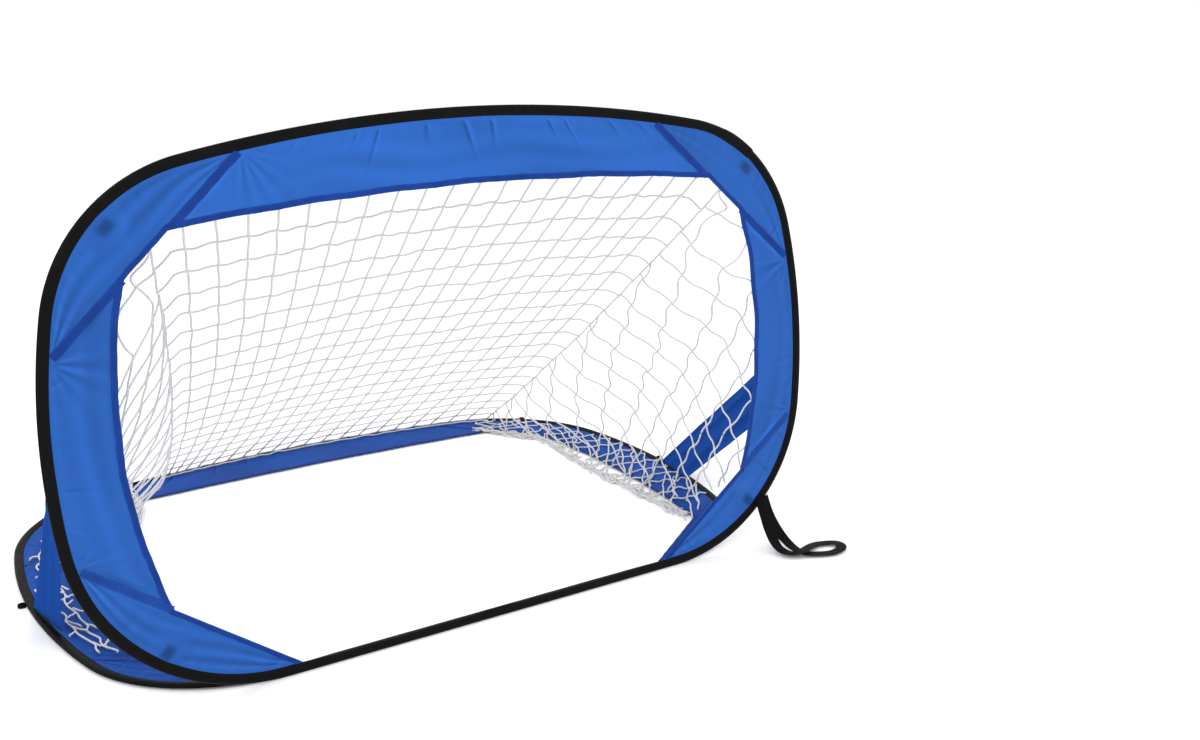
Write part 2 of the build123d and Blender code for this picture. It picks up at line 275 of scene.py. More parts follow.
def grid_faces(rows, cols, wrap_rows=False, wrap_cols=False):
    """Corner numbers of the quads of a rows by cols grid, which may close on itself either way."""
    r = np.arange(rows if wrap_rows else rows - 1)
    c = np.arange(cols if wrap_cols else cols - 1)
    r0, c0 = np.meshgrid(r, c, indexing="ij")
    r1, c1 = (r0 + 1) % rows, (c0 + 1) % cols
    quad = np.stack([r0 * cols + c0, r1 * cols + c0, r1 * cols + c1, r0 * cols + c1], axis=-1)
    unwrapped = np.stack([r0, c0, r0 + 1, c0, r0 + 1, c0 + 1, r0, c0 + 1], axis=-1)
    return quad.reshape(-1, 4), unwrapped.reshape(-1, 4, 2)


def grid_uvs(corner_steps, u, v):
    """UV of each quad corner, from the distance u of each row and v of each column."""
    steps = corner_steps.reshape(-1, 2)
    return np.stack([u[steps[:, 0]], v[steps[:, 1]]], axis=-1)


def unit(vectors):
    return vectors / np.maximum(np.linalg.norm(vectors, axis=-1, keepdims=True), 1e-12)


def lengths(points):
    """Distance along a line of points, from its start."""
    steps = np.linalg.norm(np.diff(points, axis=0), axis=1)
    return np.concatenate(([0.0], np.cumsum(steps)))


def resample(points, count):
    """The same line with count points, evenly spaced along it."""
    run = lengths(points)
    at = np.linspace(0, run[-1], count)
    return np.stack([np.interp(at, run, points[:, k]) for k in range(points.shape[1])], axis=-1)


def smooth_step(x):
    x = np.clip(x, 0, 1)
    return x * x * (3 - 2 * x)


def waves(x, rng, terms=6, low=1.0, high=6.0):
    """Smooth irregular signal between about -1 and 1: a sum of sines at random rates and phases."""
    rates = rng.uniform(low, high, terms)
    phases = rng.uniform(0, 2 * math.pi, terms)
    weights = rng.uniform(0.5, 1.0, terms)
    total = sum(w * np.sin(2 * math.pi * r * x + p) for w, r, p in zip(weights, rates, phases))
    return total / weights.sum()


# ---------------------------------------------------------------- hoop outlines

def hoop_curve(front, inset=0.0):
    """Closed outline of a hoop in its own plane, from the middle of its straight round to the right.

    Four tangent arcs on each side. An arc's centre lies on the line through the next arc's centre,
    at the difference of their radii, so the outline has no corner.
    """
    sizes = hoops()
    width, straight = sizes.width, sizes.straight
    height = sizes.front_height if front else sizes.base_depth
    low, side, high, top = (r - inset for r in (sizes.front_radii if front else sizes.base_radii))
    half, tall = width / 2 - inset, height - 2 * inset
    c_low = np.array([straight / 2, low])
    c_side = np.array([half - side, low + math.sqrt((side - low) ** 2 - (half - side - straight / 2) ** 2)])
    c_top = np.array([0.0, tall - top])
    span = np.linalg.norm(c_top - c_side)
    along = ((side - high) ** 2 - (top - high) ** 2 + span**2) / (2 * span)
    across = math.sqrt((side - high) ** 2 - along**2)
    way = (c_top - c_side) / span
    normal = np.array([-way[1], way[0]])
    c_high = max((c_side + way * along + normal * across * s for s in (1, -1)), key=lambda c: c[0])

    def heading(a, b):
        return math.atan2(b[1] - a[1], b[0] - a[0])

    stops = [-math.pi / 2, heading(c_side, c_low), heading(c_side, c_high), heading(c_top, c_high), math.pi / 2]
    parts = [np.stack([np.linspace(0, straight / 2, 60, endpoint=False), np.zeros(60)], axis=-1)]
    for centre, radius, start, end in zip((c_low, c_side, c_high, c_top), (low, side, high, top), stops, stops[1:]):
        angle = np.linspace(start, end, 240, endpoint=False)
        parts.append(centre + radius * np.stack([np.cos(angle), np.sin(angle)], axis=-1))
    right = np.concatenate(parts)
    left = right[::-1] * (-1, 1)
    whole = np.concatenate([right, [[0.0, tall]], left])
    return whole + (0, inset)


def in_place(front, plane_points, lift=0.0):
    """Points of a hoop's plane, with a lift off it, in the object's frame. Lift is away from the net."""
    x, v = plane_points[..., 0], plane_points[..., 1]
    lift = np.broadcast_to(lift, x.shape)
    if not front:
        return np.stack([x, v + BASE_LOW[1], SLEEVE_THICK / 2 + lift], axis=-1)
    lean = hoops().lean
    up = v - FOLD_Z
    out = lift + SLEEVE_THICK / 2 + 0.00005
    y = FOLD_Y + up * math.sin(lean) - out * math.cos(lean)
    z = FOLD_Z + up * math.cos(lean) + out * math.sin(lean)
    return np.stack([x, y, z], axis=-1)


def crossing(curve, start, end, near):
    """Where the line from start to end crosses a curve, at the crossing nearest a point."""
    way = unit(end - start)
    side = (curve[:, 0] - start[0]) * way[1] - (curve[:, 1] - start[1]) * way[0]
    hits = np.nonzero(np.sign(side[:-1]) != np.sign(side[1:]))[0]
    best = hits[np.argmin(np.linalg.norm(curve[hits] - near, axis=1))]
    share = side[best] / (side[best] - side[best + 1])
    return curve[best] * (1 - share) + curve[best + 1] * share


def stretch(curve, start, end, count):
    """The shorter way along a closed curve between two of its points, evenly spaced."""
    first = np.argmin(np.linalg.norm(curve - start, axis=1))
    last = np.argmin(np.linalg.norm(curve - end, axis=1))
    n = len(curve)
    forward = (last - first) % n
    if forward <= n - forward:
        index = (first + np.arange(forward + 1)) % n
    else:
        index = (first - np.arange(n - forward + 1)) % n
    line = np.concatenate([[start], curve[index[1:-1]], [end]])
    return resample(line, count)


def bow(first, middle, last, count):
    """A shallow curve through three points: a parabola over the line from first to last."""
    t = np.linspace(0, 1, count)[:, None]
    rise = middle - (first + last) / 2
    return first * (1 - t) + last * t + rise * 4 * t * (1 - t)


def lengthened(line, by=0.06):
    """A line carried straight on past both of its ends."""
    first = line[0] + by * unit(line[0] - line[1])
    last = line[-1] + by * unit(line[-1] - line[-2])
    return np.concatenate([[first], line, [last]])


def between(line, start, end, count):
    """The part of an open line between two points on it, evenly spaced."""
    run = lengths(line)

    def place(point):
        way = np.diff(line, axis=0)
        share = ((point - line[:-1]) * way).sum(axis=1) / (way**2).sum(axis=1)
        share = np.clip(share, 0, 1)
        off = np.linalg.norm(line[:-1] + way * share[:, None] - point, axis=1)
        best = np.argmin(off)
        return run[best] + share[best] * (run[best + 1] - run[best])

    at = np.linspace(place(start), place(end), count)
    return np.stack([np.interp(at, run, line[:, k]) for k in (0, 1)], axis=-1)


def wandering(line, reach, seed):
    """A hem that isn't quite even: its line pushed square to itself by slow irregular waves."""
    rng = np.random.default_rng(seed)
    run = lengths(line)
    way = unit(np.gradient(line, axis=0))
    square = np.stack([-way[:, 1], way[:, 0]], axis=-1)
    fade = smooth_step(np.minimum(run, run[-1] - run) / 0.03)
    return line + square * (reach * fade * waves(run, rng, 5, 2.5, 11))[:, None]


class Layout:
    """Seams, hems and corners of one hoop's cloth, in the hoop's plane."""

    def __init__(self, front):
        c = cloths()
        self.front = front
        far, near = (c.front_upper_seam, c.front_lower_seam) if front else (c.base_rear_seam, c.base_front_seam)
        far_hem, side_hem = (c.front_top_hem, c.front_side_hem) if front else (c.base_rear_hem, c.base_side_hem)
        self.edge = hoop_curve(front, hoops().sleeve_width - 0.001)
        self.far = np.array(far).reshape(2, 2)
        self.near = np.array(near).reshape(2, 2)
        mirror = np.array([-1.0, 1.0])
        far_in, far_out = self.far
        near_out, near_in = self.near
        edge_x = far_in[0] + 0.07
        hem = bow(np.array([-edge_x, far_hem[0]]), np.array([0, far_hem[1]]), np.array([edge_x, far_hem[0]]), 801)
        high_y, low_y = far_out[1] + 0.075, near_out[1] - 0.075
        side = bow(
            np.array([side_hem[0], high_y]),
            np.array([side_hem[1], (high_y + low_y) / 2]),
            np.array([side_hem[2], low_y]), 801)
        long_hem, long_side = lengthened(hem), lengthened(side)
        self.far_hem_end = crossing(long_hem, far_in, far_out, far_out)
        self.side_top = crossing(long_side, far_in, far_out, far_out)
        self.side_low = crossing(long_side, near_out, near_in, near_out)
        self.far_in = crossing(self.edge, far_out, far_in, far_in)
        self.far_out = crossing(self.edge, far_in, far_out, far_out)
        self.near_out = crossing(self.edge, near_in, near_out, near_out)
        self.near_in = crossing(self.edge, near_out, near_in, near_in)
        self.hem = wandering(between(long_hem, self.far_hem_end * mirror, self.far_hem_end, 801), 0.0012, 5)
        self.side = between(long_side, self.side_top, self.side_low, 801)
        self.sides = {word: wandering(self.side, 0.0018, 9 + word + 4 * front) for word in (-1, 1)}
        self.mirror = mirror

    def panel(self, part, side, rows):
        """Inner and outer edges of a panel, as two lines with the same number of points."""
        flip = np.array([side, 1.0])
        if part == "far":
            inner = resample(self.hem, rows)
            outer = stretch(self.edge, self.far_in * self.mirror, self.far_in, rows)
            return inner, outer
        if part == "side":
            inner = resample(self.sides[side], rows)
            outer = stretch(self.edge, self.far_out, self.near_out, rows)
        elif part == "far_corner":
            inner = resample(np.stack([self.far_in, self.far_out]), rows)
            outer = stretch(self.edge, self.far_in, self.far_out, rows)
        else:
            inner = resample(np.stack([self.near_out, self.near_in]), rows)
            outer = stretch(self.edge, self.near_out, self.near_in, rows)
        return inner * flip, outer * flip


# ---------------------------------------------------------------- materials

class Shader:
    """A node tree under construction, with short calls for its nodes."""

    def __init__(self, name):
        self.material = bpy.data.materials.new(name)
        self.material.use_nodes = True
        self.tree = self.material.node_tree
        self.main = self.tree.nodes["Principled BSDF"]

    def add(self, kind, inputs=None, **settings):
        node = self.tree.nodes.new("ShaderNode" + kind)
        for key, value in settings.items():
            setattr(node, key, value)
        for key, value in (inputs or {}).items():
            self.feed(node.inputs[key], value)
        return node

    def feed(self, socket, value):
        if isinstance(value, bpy.types.NodeSocket):
            self.tree.links.new(value, socket)
        else:
            socket.default_value = value

    def maths(self, operation, *values):
        return self.add("Math", dict(enumerate(values)), operation=operation).outputs[0]

    def ramp(self, value, low, high):
        """Value stretched so that low gives 0 and high gives 1, and held there beyond them."""
        node = self.add("MapRange", {"Value": value, "From Min": low, "From Max": high})
        return node.outputs[0]

    def mix(self, share, first, second):
        node = self.add("Mix", {0: share, 6: first, 7: second}, data_type="RGBA")
        return node.outputs[2]

    def bump(self, height, strength, distance, normal=None):
        inputs = {"Height": height, "Strength": strength, "Distance": distance}
        if normal is not None:
            inputs["Normal"] = normal
        return self.add("Bump", inputs).outputs[0]

    def uv(self):
        split = self.add("SeparateXYZ", {0: self.add("UVMap", uv_map="UVMap").outputs[0]})
        return split.outputs[0], split.outputs[1]

    def noise(self, scale, detail=4.0, stretch=(1, 1, 1), roughness=0.5):
        place = self.add("TexCoord").outputs["Object"]
        place = self.add("Mapping", {"Vector": place, "Scale": stretch}).outputs[0]
        inputs = {"Vector": place, "Scale": scale, "Detail": detail, "Roughness": roughness}
        return self.add("TexNoise", inputs).outputs[0]

    def weave(self, u, v, period):
        """Plain weave: threads along u and along v, each over one and under one."""
        turn = 2 * math.pi / period
        along = self.maths("SINE", self.maths("MULTIPLY", u, turn))
        across = self.maths("SINE", self.maths("MULTIPLY", v, turn))
        return self.maths("MULTIPLY", along, across)

    def stitches(self, u, v, row, width, pitch):
        """A row of stitches: dashes of one pitch along u, on the line where v is row."""
        off = self.maths("ABSOLUTE", self.maths("SUBTRACT", v, row))
        line = self.ramp(off, width, width * 0.4)
        phase = self.maths("FRACT", self.maths("DIVIDE", u, pitch))
        dash = self.ramp(self.maths("ABSOLUTE", self.maths("SUBTRACT", phase, 0.5)), 0.42, 0.34)
        return self.maths("MULTIPLY", line, dash)

    def done(self, colour, roughness, normal, sheen=0.0, sheen_rough=0.5, specular=0.5):
        """Set the shader's own sockets and hand over the material."""
        self.feed(self.main.inputs["Base Color"], colour)
        self.feed(self.main.inputs["Roughness"], roughness)
        self.feed(self.main.inputs["Normal"], normal)
        self.main.inputs["Sheen Weight"].default_value = sheen
        self.main.inputs["Sheen Roughness"].default_value = sheen_rough
        self.main.inputs["Specular IOR Level"].default_value = specular
        return self.material


def shade(colour, factor):
    return tuple(min(1.0, channel * factor) for channel in colour) + (1.0,)


def cloth_material(name, colour, specular):
    """Thin plain-woven polyester: weave and faint streaks of the threads, painted shade in the creases, a darker patch
    where a tab behind shows through, and painted light and shade from each panel's slopes.
    """
    s = Shader(name)
    u, v = s.uv()
    crease_shade = s.add("Attribute", attribute_name="crease_shade").outputs["Fac"]
    patch = s.ramp(s.noise(5.0, 3.0), 0.35, 0.7)
    streak = s.ramp(s.noise(60.0, 3.0, (1.0, 1.0, 14.0)), 0.3, 0.75)
    base = s.mix(patch, shade(colour, 0.93), shade(colour, 1.07))
    base = s.mix(s.maths("MULTIPLY", streak, 0.22), base, shade(colour, 1.18))
    # painted shade: darker along the creases, pleats and hollows marked on each panel
    base = s.mix(s.ramp(crease_shade, 0.05, 1.0), base, shade(colour, 0.6))
    backing = s.add("Attribute", attribute_name="backing").outputs["Fac"]
    base = s.mix(s.maths("MULTIPLY", backing, 0.85), base, shade(colour, 0.4))
    # painted light and shade: lighter or darker by a value worked out from each panel's slope and lit side
    painted_shading = s.add("Attribute", attribute_name="painted_shading").outputs["Fac"]
    base = s.mix(s.ramp(painted_shading, 0.0, 1.0), base, shade(colour, 1.45))
    base = s.mix(s.ramp(painted_shading, 0.0, -1.0), base, shade(colour, 0.6))
    weave = s.weave(u, v, 0.0011)
    rumple = s.noise(26.0, 6.0)
    normal = s.bump(rumple, 0.35, 0.0035)
    normal = s.bump(weave, 0.18, 0.00012, normal)
    rough = s.ramp(s.noise(40.0, 3.0), 0.0, 1.0)
    rough = s.maths("ADD", s.maths("MULTIPLY", rough, 0.12), 0.46)
    return s.done(base, rough, normal, specular=specular)


def tape_material(name, colour, width):
    """Folded binding: ribbed across, with a row of stitches near each edge."""
    s = Shader(name)
    u, v = s.uv()
    rib = s.maths("SINE", s.maths("MULTIPLY", u, 2 * math.pi / 0.0009))
    first = s.stitches(u, v, width * 0.2, 0.0007, 0.0034)
    second = s.stitches(u, v, width * 0.8, 0.0007, 0.0034)
    both = s.maths("MAXIMUM", first, second)
    patch = s.ramp(s.noise(30.0, 4.0), 0.3, 0.7)
    base = s.mix(patch, shade(colour, 0.85), shade(colour, 1.2))
    base = s.mix(s.maths("MULTIPLY", both, 0.6), base, shade(colour, 2.1))
    normal = s.bump(rib, 0.25, 0.00012)
    normal = s.bump(both, 0.6, 0.0004, normal)
    normal = s.bump(s.noise(90.0, 3.0), 0.3, 0.0012, normal)
    rough = s.maths("ADD", s.maths("MULTIPLY", patch, 0.12), 0.5)
    return s.done(base, rough, normal, sheen=0.0, sheen_rough=0.4, specular=0.08)


def sleeve_material(name, colour, seam_row, girth):
    """Black woven sleeve: dense weave, scuffed in patches, with a seam row on both faces."""
    s = Shader(name)
    u, v = s.uv()
    weave = s.weave(u, v, 0.0014)
    front = s.stitches(u, v, seam_row, 0.0006, 0.0036)
    back = s.stitches(u, v, girth - seam_row, 0.0006, 0.0036)
    seam = s.maths("MAXIMUM", front, back)
    scuff = s.ramp(s.noise(38.0, 6.0, (1, 1, 1), 0.65), 0.5, 0.78)
    lint = s.ramp(s.noise(420.0, 2.0), 0.68, 0.8)
    base = s.mix(scuff, shade(colour, 0.85), shade(colour, 1.9))
    base = s.mix(s.maths("MULTIPLY", lint, 0.35), base, shade(colour, 5.0))
    base = s.mix(s.maths("MULTIPLY", seam, 0.5), base, shade(colour, 3.0))
    normal = s.bump(s.noise(120.0, 4.0), 0.4, 0.0012)
    normal = s.bump(weave, 0.35, 0.00018, normal)
    normal = s.bump(seam, 0.6, 0.0004, normal)
    rough = s.maths("ADD", s.maths("MULTIPLY", scuff, 0.15), 0.5)
    return s.done(base, rough, normal, sheen=0.0, sheen_rough=0.5, specular=0.07)


def webbing_material(name, colour, width):
    """Narrow webbing: ribs in a shallow V across the width, and firm edges."""
    s = Shader(name)
    u, v = s.uv()
    middle = s.maths("ABSOLUTE", s.maths("SUBTRACT", v, width / 2))
    rib = s.maths("SINE", s.maths("MULTIPLY", s.maths("ADD", u, middle), 2 * math.pi / 0.0016))
    edge = s.ramp(middle, width * 0.42, width * 0.48)
    wear = s.ramp(s.noise(70.0, 5.0), 0.45, 0.75)
    base = s.mix(wear, shade(colour, 0.9), shade(colour, 2.0))
    base = s.mix(s.maths("MULTIPLY", edge, 0.5), base, shade(colour, 2.6))
    normal = s.bump(rib, 0.5, 0.0003)
    normal = s.bump(edge, 0.4, 0.0003, normal)
    rough = s.maths("ADD", s.maths("MULTIPLY", wear, 0.15), 0.55)
    return s.done(base, rough, normal, sheen=0.0, sheen_rough=0.5, specular=0.07)


def twine_material(name, colour):
    """Twisted twine: two strands wound round each other, painted shade in the groove between them, and a little darker
    and browner in patches towards the ground.
    """
    s = Shader(name)
    u, v = s.uv()
    turn = s.maths("ADD", s.maths("MULTIPLY", u, 2 * math.pi / 0.0045), s.maths("MULTIPLY", v, 4 * math.pi))
    twist_and_groove_shade = s.maths("SINE", turn)
    height = s.add("SeparateXYZ", {0: s.add("TexCoord").outputs["Object"]}).outputs[2]
    # darker and browner in patches below 0.12 m height
    low = s.maths("MULTIPLY", s.ramp(height, 0.12, 0.0), s.ramp(s.noise(24.0, 4.0), 0.35, 0.7))
    # painted shade: the twine is darker in the groove between its two strands
    base = s.mix(s.ramp(twist_and_groove_shade, -0.9, 0.2), shade(colour, 0.72), shade(colour, 1.0))
    base = s.mix(s.maths("MULTIPLY", low, 0.25), base, (0.55, 0.53, 0.48, 1.0))
    normal = s.bump(twist_and_groove_shade, 0.6, 0.0004)
    rough = s.maths("ADD", s.maths("MULTIPLY", s.noise(80.0, 2.0), 0.2), 0.5)
    return s.done(base, rough, normal, sheen=0.1, sheen_rough=0.6, specular=0.35)


def steel_material(name):
    """Drawn spring wire: a fine grain and a dull oil film."""
    s = Shader(name)
    line = s.noise(900.0, 2.0, (1, 1, 1))
    film = s.ramp(s.noise(30.0, 4.0), 0.35, 0.7)
    base = s.mix(film, (0.42, 0.43, 0.45, 1), (0.56, 0.56, 0.57, 1))
    normal = s.bump(line, 0.15, 0.0001)
    s.main.inputs["Metallic"].default_value = 1.0
    rough = s.maths("ADD", s.maths("MULTIPLY", film, 0.15), 0.28)
    return s.done(base, rough, normal)


def floor_material(name, colour):
    """Matt pale studio floor."""
    s = Shader(name)
    grain = s.ramp(s.noise(3.0, 3.0), 0.3, 0.7)
    base = s.mix(grain, shade(colour, 0.995), shade(colour, 1.005))
    return s.done(base, 0.85, s.bump(s.noise(200.0, 2.0), 0.03, 0.0005), specular=0.1)


# ---------------------------------------------------------------- cloth panels

def set_values(piece, name, values):
    attribute = piece.data.attributes.new(name, "FLOAT", "POINT")
    attribute.data.foreach_set("value", np.ascontiguousarray(values, np.float32).ravel())


def fan(points, root, rng, reach, count):
    """Creases that fan out from a root: waves of the direction from it, fading with distance."""
    away = points - root
    distance = np.linalg.norm(away, axis=-1)
    heading = np.arctan2(away[..., 1], away[..., 0])
    ripple = waves(heading / (2 * math.pi), rng, 5, count * 0.6, count * 1.5)
    fade = np.exp(-distance / reach) * smooth_step(distance / 0.02)
    return ripple * fade


def sleeve_pleats(run, from_sleeve, rng):
    """Narrow pleats square to the sleeve: ridges at random places, each fading over its own length."""
    total = float(run.max())
    count = max(int(total / 0.055), 3)
    places = (np.arange(count) + rng.uniform(0.15, 0.85, count)) * total / count
    reach = rng.uniform(0.012, 0.045, count)
    wide = rng.uniform(0.0013, 0.0026, count)
    deep = rng.uniform(0.2, 1.0, count)
    skew = rng.uniform(-0.25, 0.25, count)
    across = (run[..., None] - places + skew * from_sleeve[..., None]) / wide
    return (deep * np.exp(-0.5 * across**2) * np.exp(-((from_sleeve[..., None] / reach) ** 2))).sum(axis=-1)


def tab_shadow(flat, place, side):
    """Soft patch where a tab behind the cloth shows through: a slanting blurred oval.

    exp(-(a / 0.45 tall)^4 - (b / 0.38 wide)^4), where a and b are the distances from its middle along
    and across the slant.
    """
    wide, tall = trims().tab_size
    x, v = flat[..., 0] * side - place[0], flat[..., 1] - place[1]
    a, b = (x - v) * math.sqrt(0.5), (x + v) * math.sqrt(0.5)
    return np.exp(-((a / (0.45 * tall)) ** 4) - (b / (0.38 * wide)) ** 4)


def cloth_panel(name, layout, part, side, node, seed, material):
    """A panel between two edges: a straight blend from inner to outer, lifted by pucker.

    The pucker is the sum of gathers square to the sleeve, which fade away from it, fans of creases
    from the panel's corners, and a slow swell between the edges.
    """
    rng = np.random.default_rng(seed)
    rows = {"far": 420, "side": 260, "far_corner": 170, "near_corner": 170}[part]
    cols = 44
    inner, outer = layout.panel(part, side, rows)
    v = np.linspace(0, 1, cols)
    flat = inner[:, None] * (1 - v[None, :, None]) + outer[:, None] * v[None, :, None]
    run = lengths(outer)[:, None]
    width = np.linalg.norm(outer - inner, axis=1)[:, None]
    from_sleeve = (1 - v)[None, :] * width
    from_hem = v[None, :] * width
    depth = cloths().pucker
    gathers = waves(run, rng, 9, 18, 55) * np.exp(-from_sleeve / 0.014)
    gathers *= 0.35 + 0.65 * smooth_step(waves(run, rng, 4, 2, 7) * 0.8 + 0.5)
    hem_ripple = waves(run, rng, 6, 10, 30) * np.exp(-from_hem / 0.015) * 0.3
    corners = fan(flat, inner[0], rng, 0.05, 16) + fan(flat, inner[-1], rng, 0.05, 16)
    corners += 0.6 * (fan(flat, outer[0], rng, 0.05, 13) + fan(flat, outer[-1], rng, 0.05, 13))
    swell = waves(run, rng, 3, 1.5, 5) * np.sin(math.pi * v)[None, :] * np.minimum(width / 0.1, 1)
    long_folds = waves(v[None, :] * 1.2 + 0.35 * waves(run, rng, 3, 1, 4), rng, 4, 0.8, 2.6)
    pleats = sleeve_pleats(run, from_sleeve, rng) * {"far": 1.0, "side": 0.25}.get(part, 0.4)
    held = smooth_step((np.minimum(from_sleeve, from_hem) - 0.003) / 0.009)
    ends = np.minimum(run, run[-1] - run)
    held = held * (1 if part == "far" else 1) * smooth_step((ends - 0.004) / 0.012)
    lift = depth * (1.0 * gathers + hem_ripple + 0.8 * corners - 1.3 * pleats) * held
    lift += depth * (1.7 * swell + 0.6 * long_folds * np.sin(math.pi * v)[None, :]) * held
    backing = np.zeros(flat.shape[:2])
    if layout.front and "corner" in part:
        upper = part == "far_corner"
        t = trims()
        backing = tab_shadow(flat, t.tab_shadows[:2] if upper else t.tab_shadows[2:], side)
        place = t.tab_places[:2] if upper else t.tab_places[2:]
        away = (flat * (side, 1.0) - np.array(place)) / (0.9 * np.array(t.tab_size))
        flush = np.exp(-((away**4).sum(axis=-1)))
        lift = lift * (1 - flush) + 0.0007 * flush
    points = in_place(layout.front, flat, lift)
    faces, steps = grid_faces(rows, cols)
    uvs = grid_uvs(steps, lengths(outer), v * float(width.max()))
    piece = make_object(name, points.reshape(-1, 3), faces, uvs, material)
    # painted shade: the hollows of the gathers and corner fans, and the pleats, are marked to be painted darker
    hollow_shade = np.clip(-0.8 * gathers - 0.7 * corners - 0.25, 0, 1)
    set_values(piece, "crease_shade", np.clip(0.5 * hollow_shade + 0.9 * pleats, 0, 1) * held)
    set_values(piece, "backing", backing)
    # painted light and shade: the lift's slope across and along stands in for the light falling on the cloth; the
    # front's top panel is painted lighter and the base's panels a little darker
    slope = np.gradient(lift, axis=0) / (lengths(outer)[1]) * 0.8 + np.gradient(lift, axis=1) / (width / cols) * 0.6
    panel_light = {"far": 0.32, "side": 0.0, "far_corner": -0.03, "near_corner": 0.02}[part] if layout.front else -0.05
    set_values(piece, "painted_shading", np.clip(panel_light + 4.2 * slope * (1 - backing), -0.55, 0.85))
    thicken(piece, cloths().cloth)
    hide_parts(node)
    length = float(lengths(outer)[-1])
    return piece


def cell_area(flat):
    """Area of a plane grid, from its cells' diagonals."""
    first = flat[1:, 1:] - flat[:-1, :-1]
    second = flat[1:, :-1] - flat[:-1, 1:]
    return np.abs(first[..., 0] * second[..., 1] - first[..., 1] * second[..., 0]).sum() / 2


def thicken(piece, thickness):
    solid = piece.modifiers.new("Thickness", "SOLIDIFY")
    solid.thickness = thickness
    solid.offset = 0.0


def ribbon(name, front, line, out, width, lift, seed, material, wander=0.0006):
    """A tape laid on the cloth: a flat oval profile carried along its line, wandering a little."""
    rng = np.random.default_rng(seed)
    count = max(int(lengths(line)[-1] / 0.003), 24)
    line = resample(line, count)
    run = lengths(line)
    tangent = unit(np.gradient(line, axis=0))
    across = np.stack([-tangent[:, 1], tangent[:, 0]], axis=-1)
    across *= np.sign((across * out).sum(axis=1, keepdims=True))
    angle = np.linspace(0, 2 * math.pi, 20, endpoint=False)
    thick = 0.00055
    side = np.sign(np.cos(angle)) * np.abs(np.cos(angle)) ** 0.5 * width / 2
    rise = np.sign(np.sin(angle)) * np.abs(np.sin(angle)) ** 0.8 * thick
    shift = waves(run, rng, 5, 8, 40) * wander
    swell = 1 + 0.06 * waves(run, rng, 5, 20, 60)
    flat = line[:, None] + across[:, None] * (width / 2 + shift[:, None] + side[None, :] * swell[:, None])[..., None]
    ripple = waves(run, rng, 6, 15, 50) * 0.0004
    points = in_place(front, flat, lift + rise[None, :] + ripple[:, None])
    faces, steps = grid_faces(count, len(angle), wrap_cols=True)
    v = width * np.concatenate([(1 + np.cos(angle)) / 2, [1.0]])
    uvs = grid_uvs(steps, run, v)
    ring = np.arange(len(angle))
    ends = np.stack([ring, (count - 1) * len(angle) + ring[::-1]])
    piece = make_object(name, points.reshape(-1, 3), faces, uvs, material, ends)
    fix_facing(piece)
    return piece


def fix_facing(piece):
    """Turn a closed mesh's faces outwards if the volume they enclose comes out negative."""
    mesh = piece.data
    mesh.calc_loop_triangles()
    points = np.zeros(len(mesh.vertices) * 3)
    mesh.vertices.foreach_get("co", points)
    corners = np.zeros(len(mesh.loop_triangles) * 3, np.int32)
    mesh.loop_triangles.foreach_get("vertices", corners)
    a, b, c = points.reshape(-1, 3)[corners.reshape(-1, 3)].transpose(1, 0, 2)
    if np.einsum("ij,ij->", a, np.cross(b, c)) < 0:
        mesh.flip_normals()


# ---------------------------------------------------------------- sleeves

def sleeve_piece(name, front, node, seed, material):
    """Hoop sleeve: an oval section, blunt round the wire and thin at its inner seam, carried round.

    Its width swells and narrows slowly, small gathers run round it in patches, and its two ends lap over each other for
    a short way.
    """
    rng = np.random.default_rng(seed)
    sizes = hoops()
    outer = hoop_curve(front)
    count = 1500
    centre = resample(np.concatenate([outer, outer[:1]]), count + 1)[:-1]
    run = lengths(np.concatenate([centre, centre[:1]]))
    total = run[-1]
    run = run[:-1]
    tangent = unit(np.roll(centre, -1, axis=0) - np.roll(centre, 1, axis=0))
    inward = np.stack([-tangent[:, 1], tangent[:, 0]], axis=-1)
    turn = run / total
    width = np.full(count, sizes.sleeve_width)
    joined = (1 - smooth_step((np.abs(centre[:, 0]) - 0.24) / 0.09)) * (centre[:, 1] < 0.1)
    if front:
        width += (sizes.pinch - sizes.sleeve_width) * joined
        width += 0.0016 * np.exp(-((centre[:, 0] / 0.032) ** 4)) * joined
    periodic = waves(turn * total, rng, 6, 3, 12) * smooth_step(np.minimum(turn, 1 - turn) / 0.02)
    width += 0.0004 * periodic
    lap_at = 0.345 if front else 0.62
    lap = smooth_step((turn - lap_at) / 0.0012) * (1 - smooth_step((turn - lap_at - 0.014) / 0.012))
    angle = np.linspace(0, 2 * math.pi, 28, endpoint=False)
    place = (1 - np.cos(angle)) / 2
    seam = np.clip((place - 0.35) / 0.65, 0, 1)
    profile = np.sign(np.sin(angle)) * np.abs(np.sin(angle)) ** 0.85
    thin = 0.62 * (1 - 0.85 * joined[:, None]) * (seam**1.4)[None, :]
    height = SLEEVE_THICK / 2 * (1 - thin) * profile[None, :]
    pucker = waves(turn * total, rng, 12, 25, 70)[:, None] * np.sin(angle)[None, :] ** 2
    pucker *= (0.25 + 0.75 * smooth_step(waves(turn * total, rng, 4, 1, 5) + 0.3))[:, None]
    swell = 1 + 0.10 * lap[:, None] + 0.05 * pucker
    spread = width[:, None] * place[None, :] + lap[:, None] * 0.0016 * (2 * place[None, :] - 1)
    flat = centre[:, None] + inward[:, None] * spread[..., None]
    lift = np.minimum(height * swell, SLEEVE_THICK / 2)
    lift = np.maximum(lift, -SLEEVE_THICK / 2)
    points = in_place(front, flat, lift)
    faces, steps = grid_faces(count, len(angle), wrap_rows=True, wrap_cols=True)
    girth = 2.1 * sizes.sleeve_width
    uvs = grid_uvs(steps, np.append(run, total), np.linspace(0, girth, len(angle) + 1))
    piece = make_object(name, points.reshape(-1, 3), faces, uvs, material)
    fix_facing(piece)
    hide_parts(node)
    return piece


# ---------------------------------------------------------------- twine and webbing

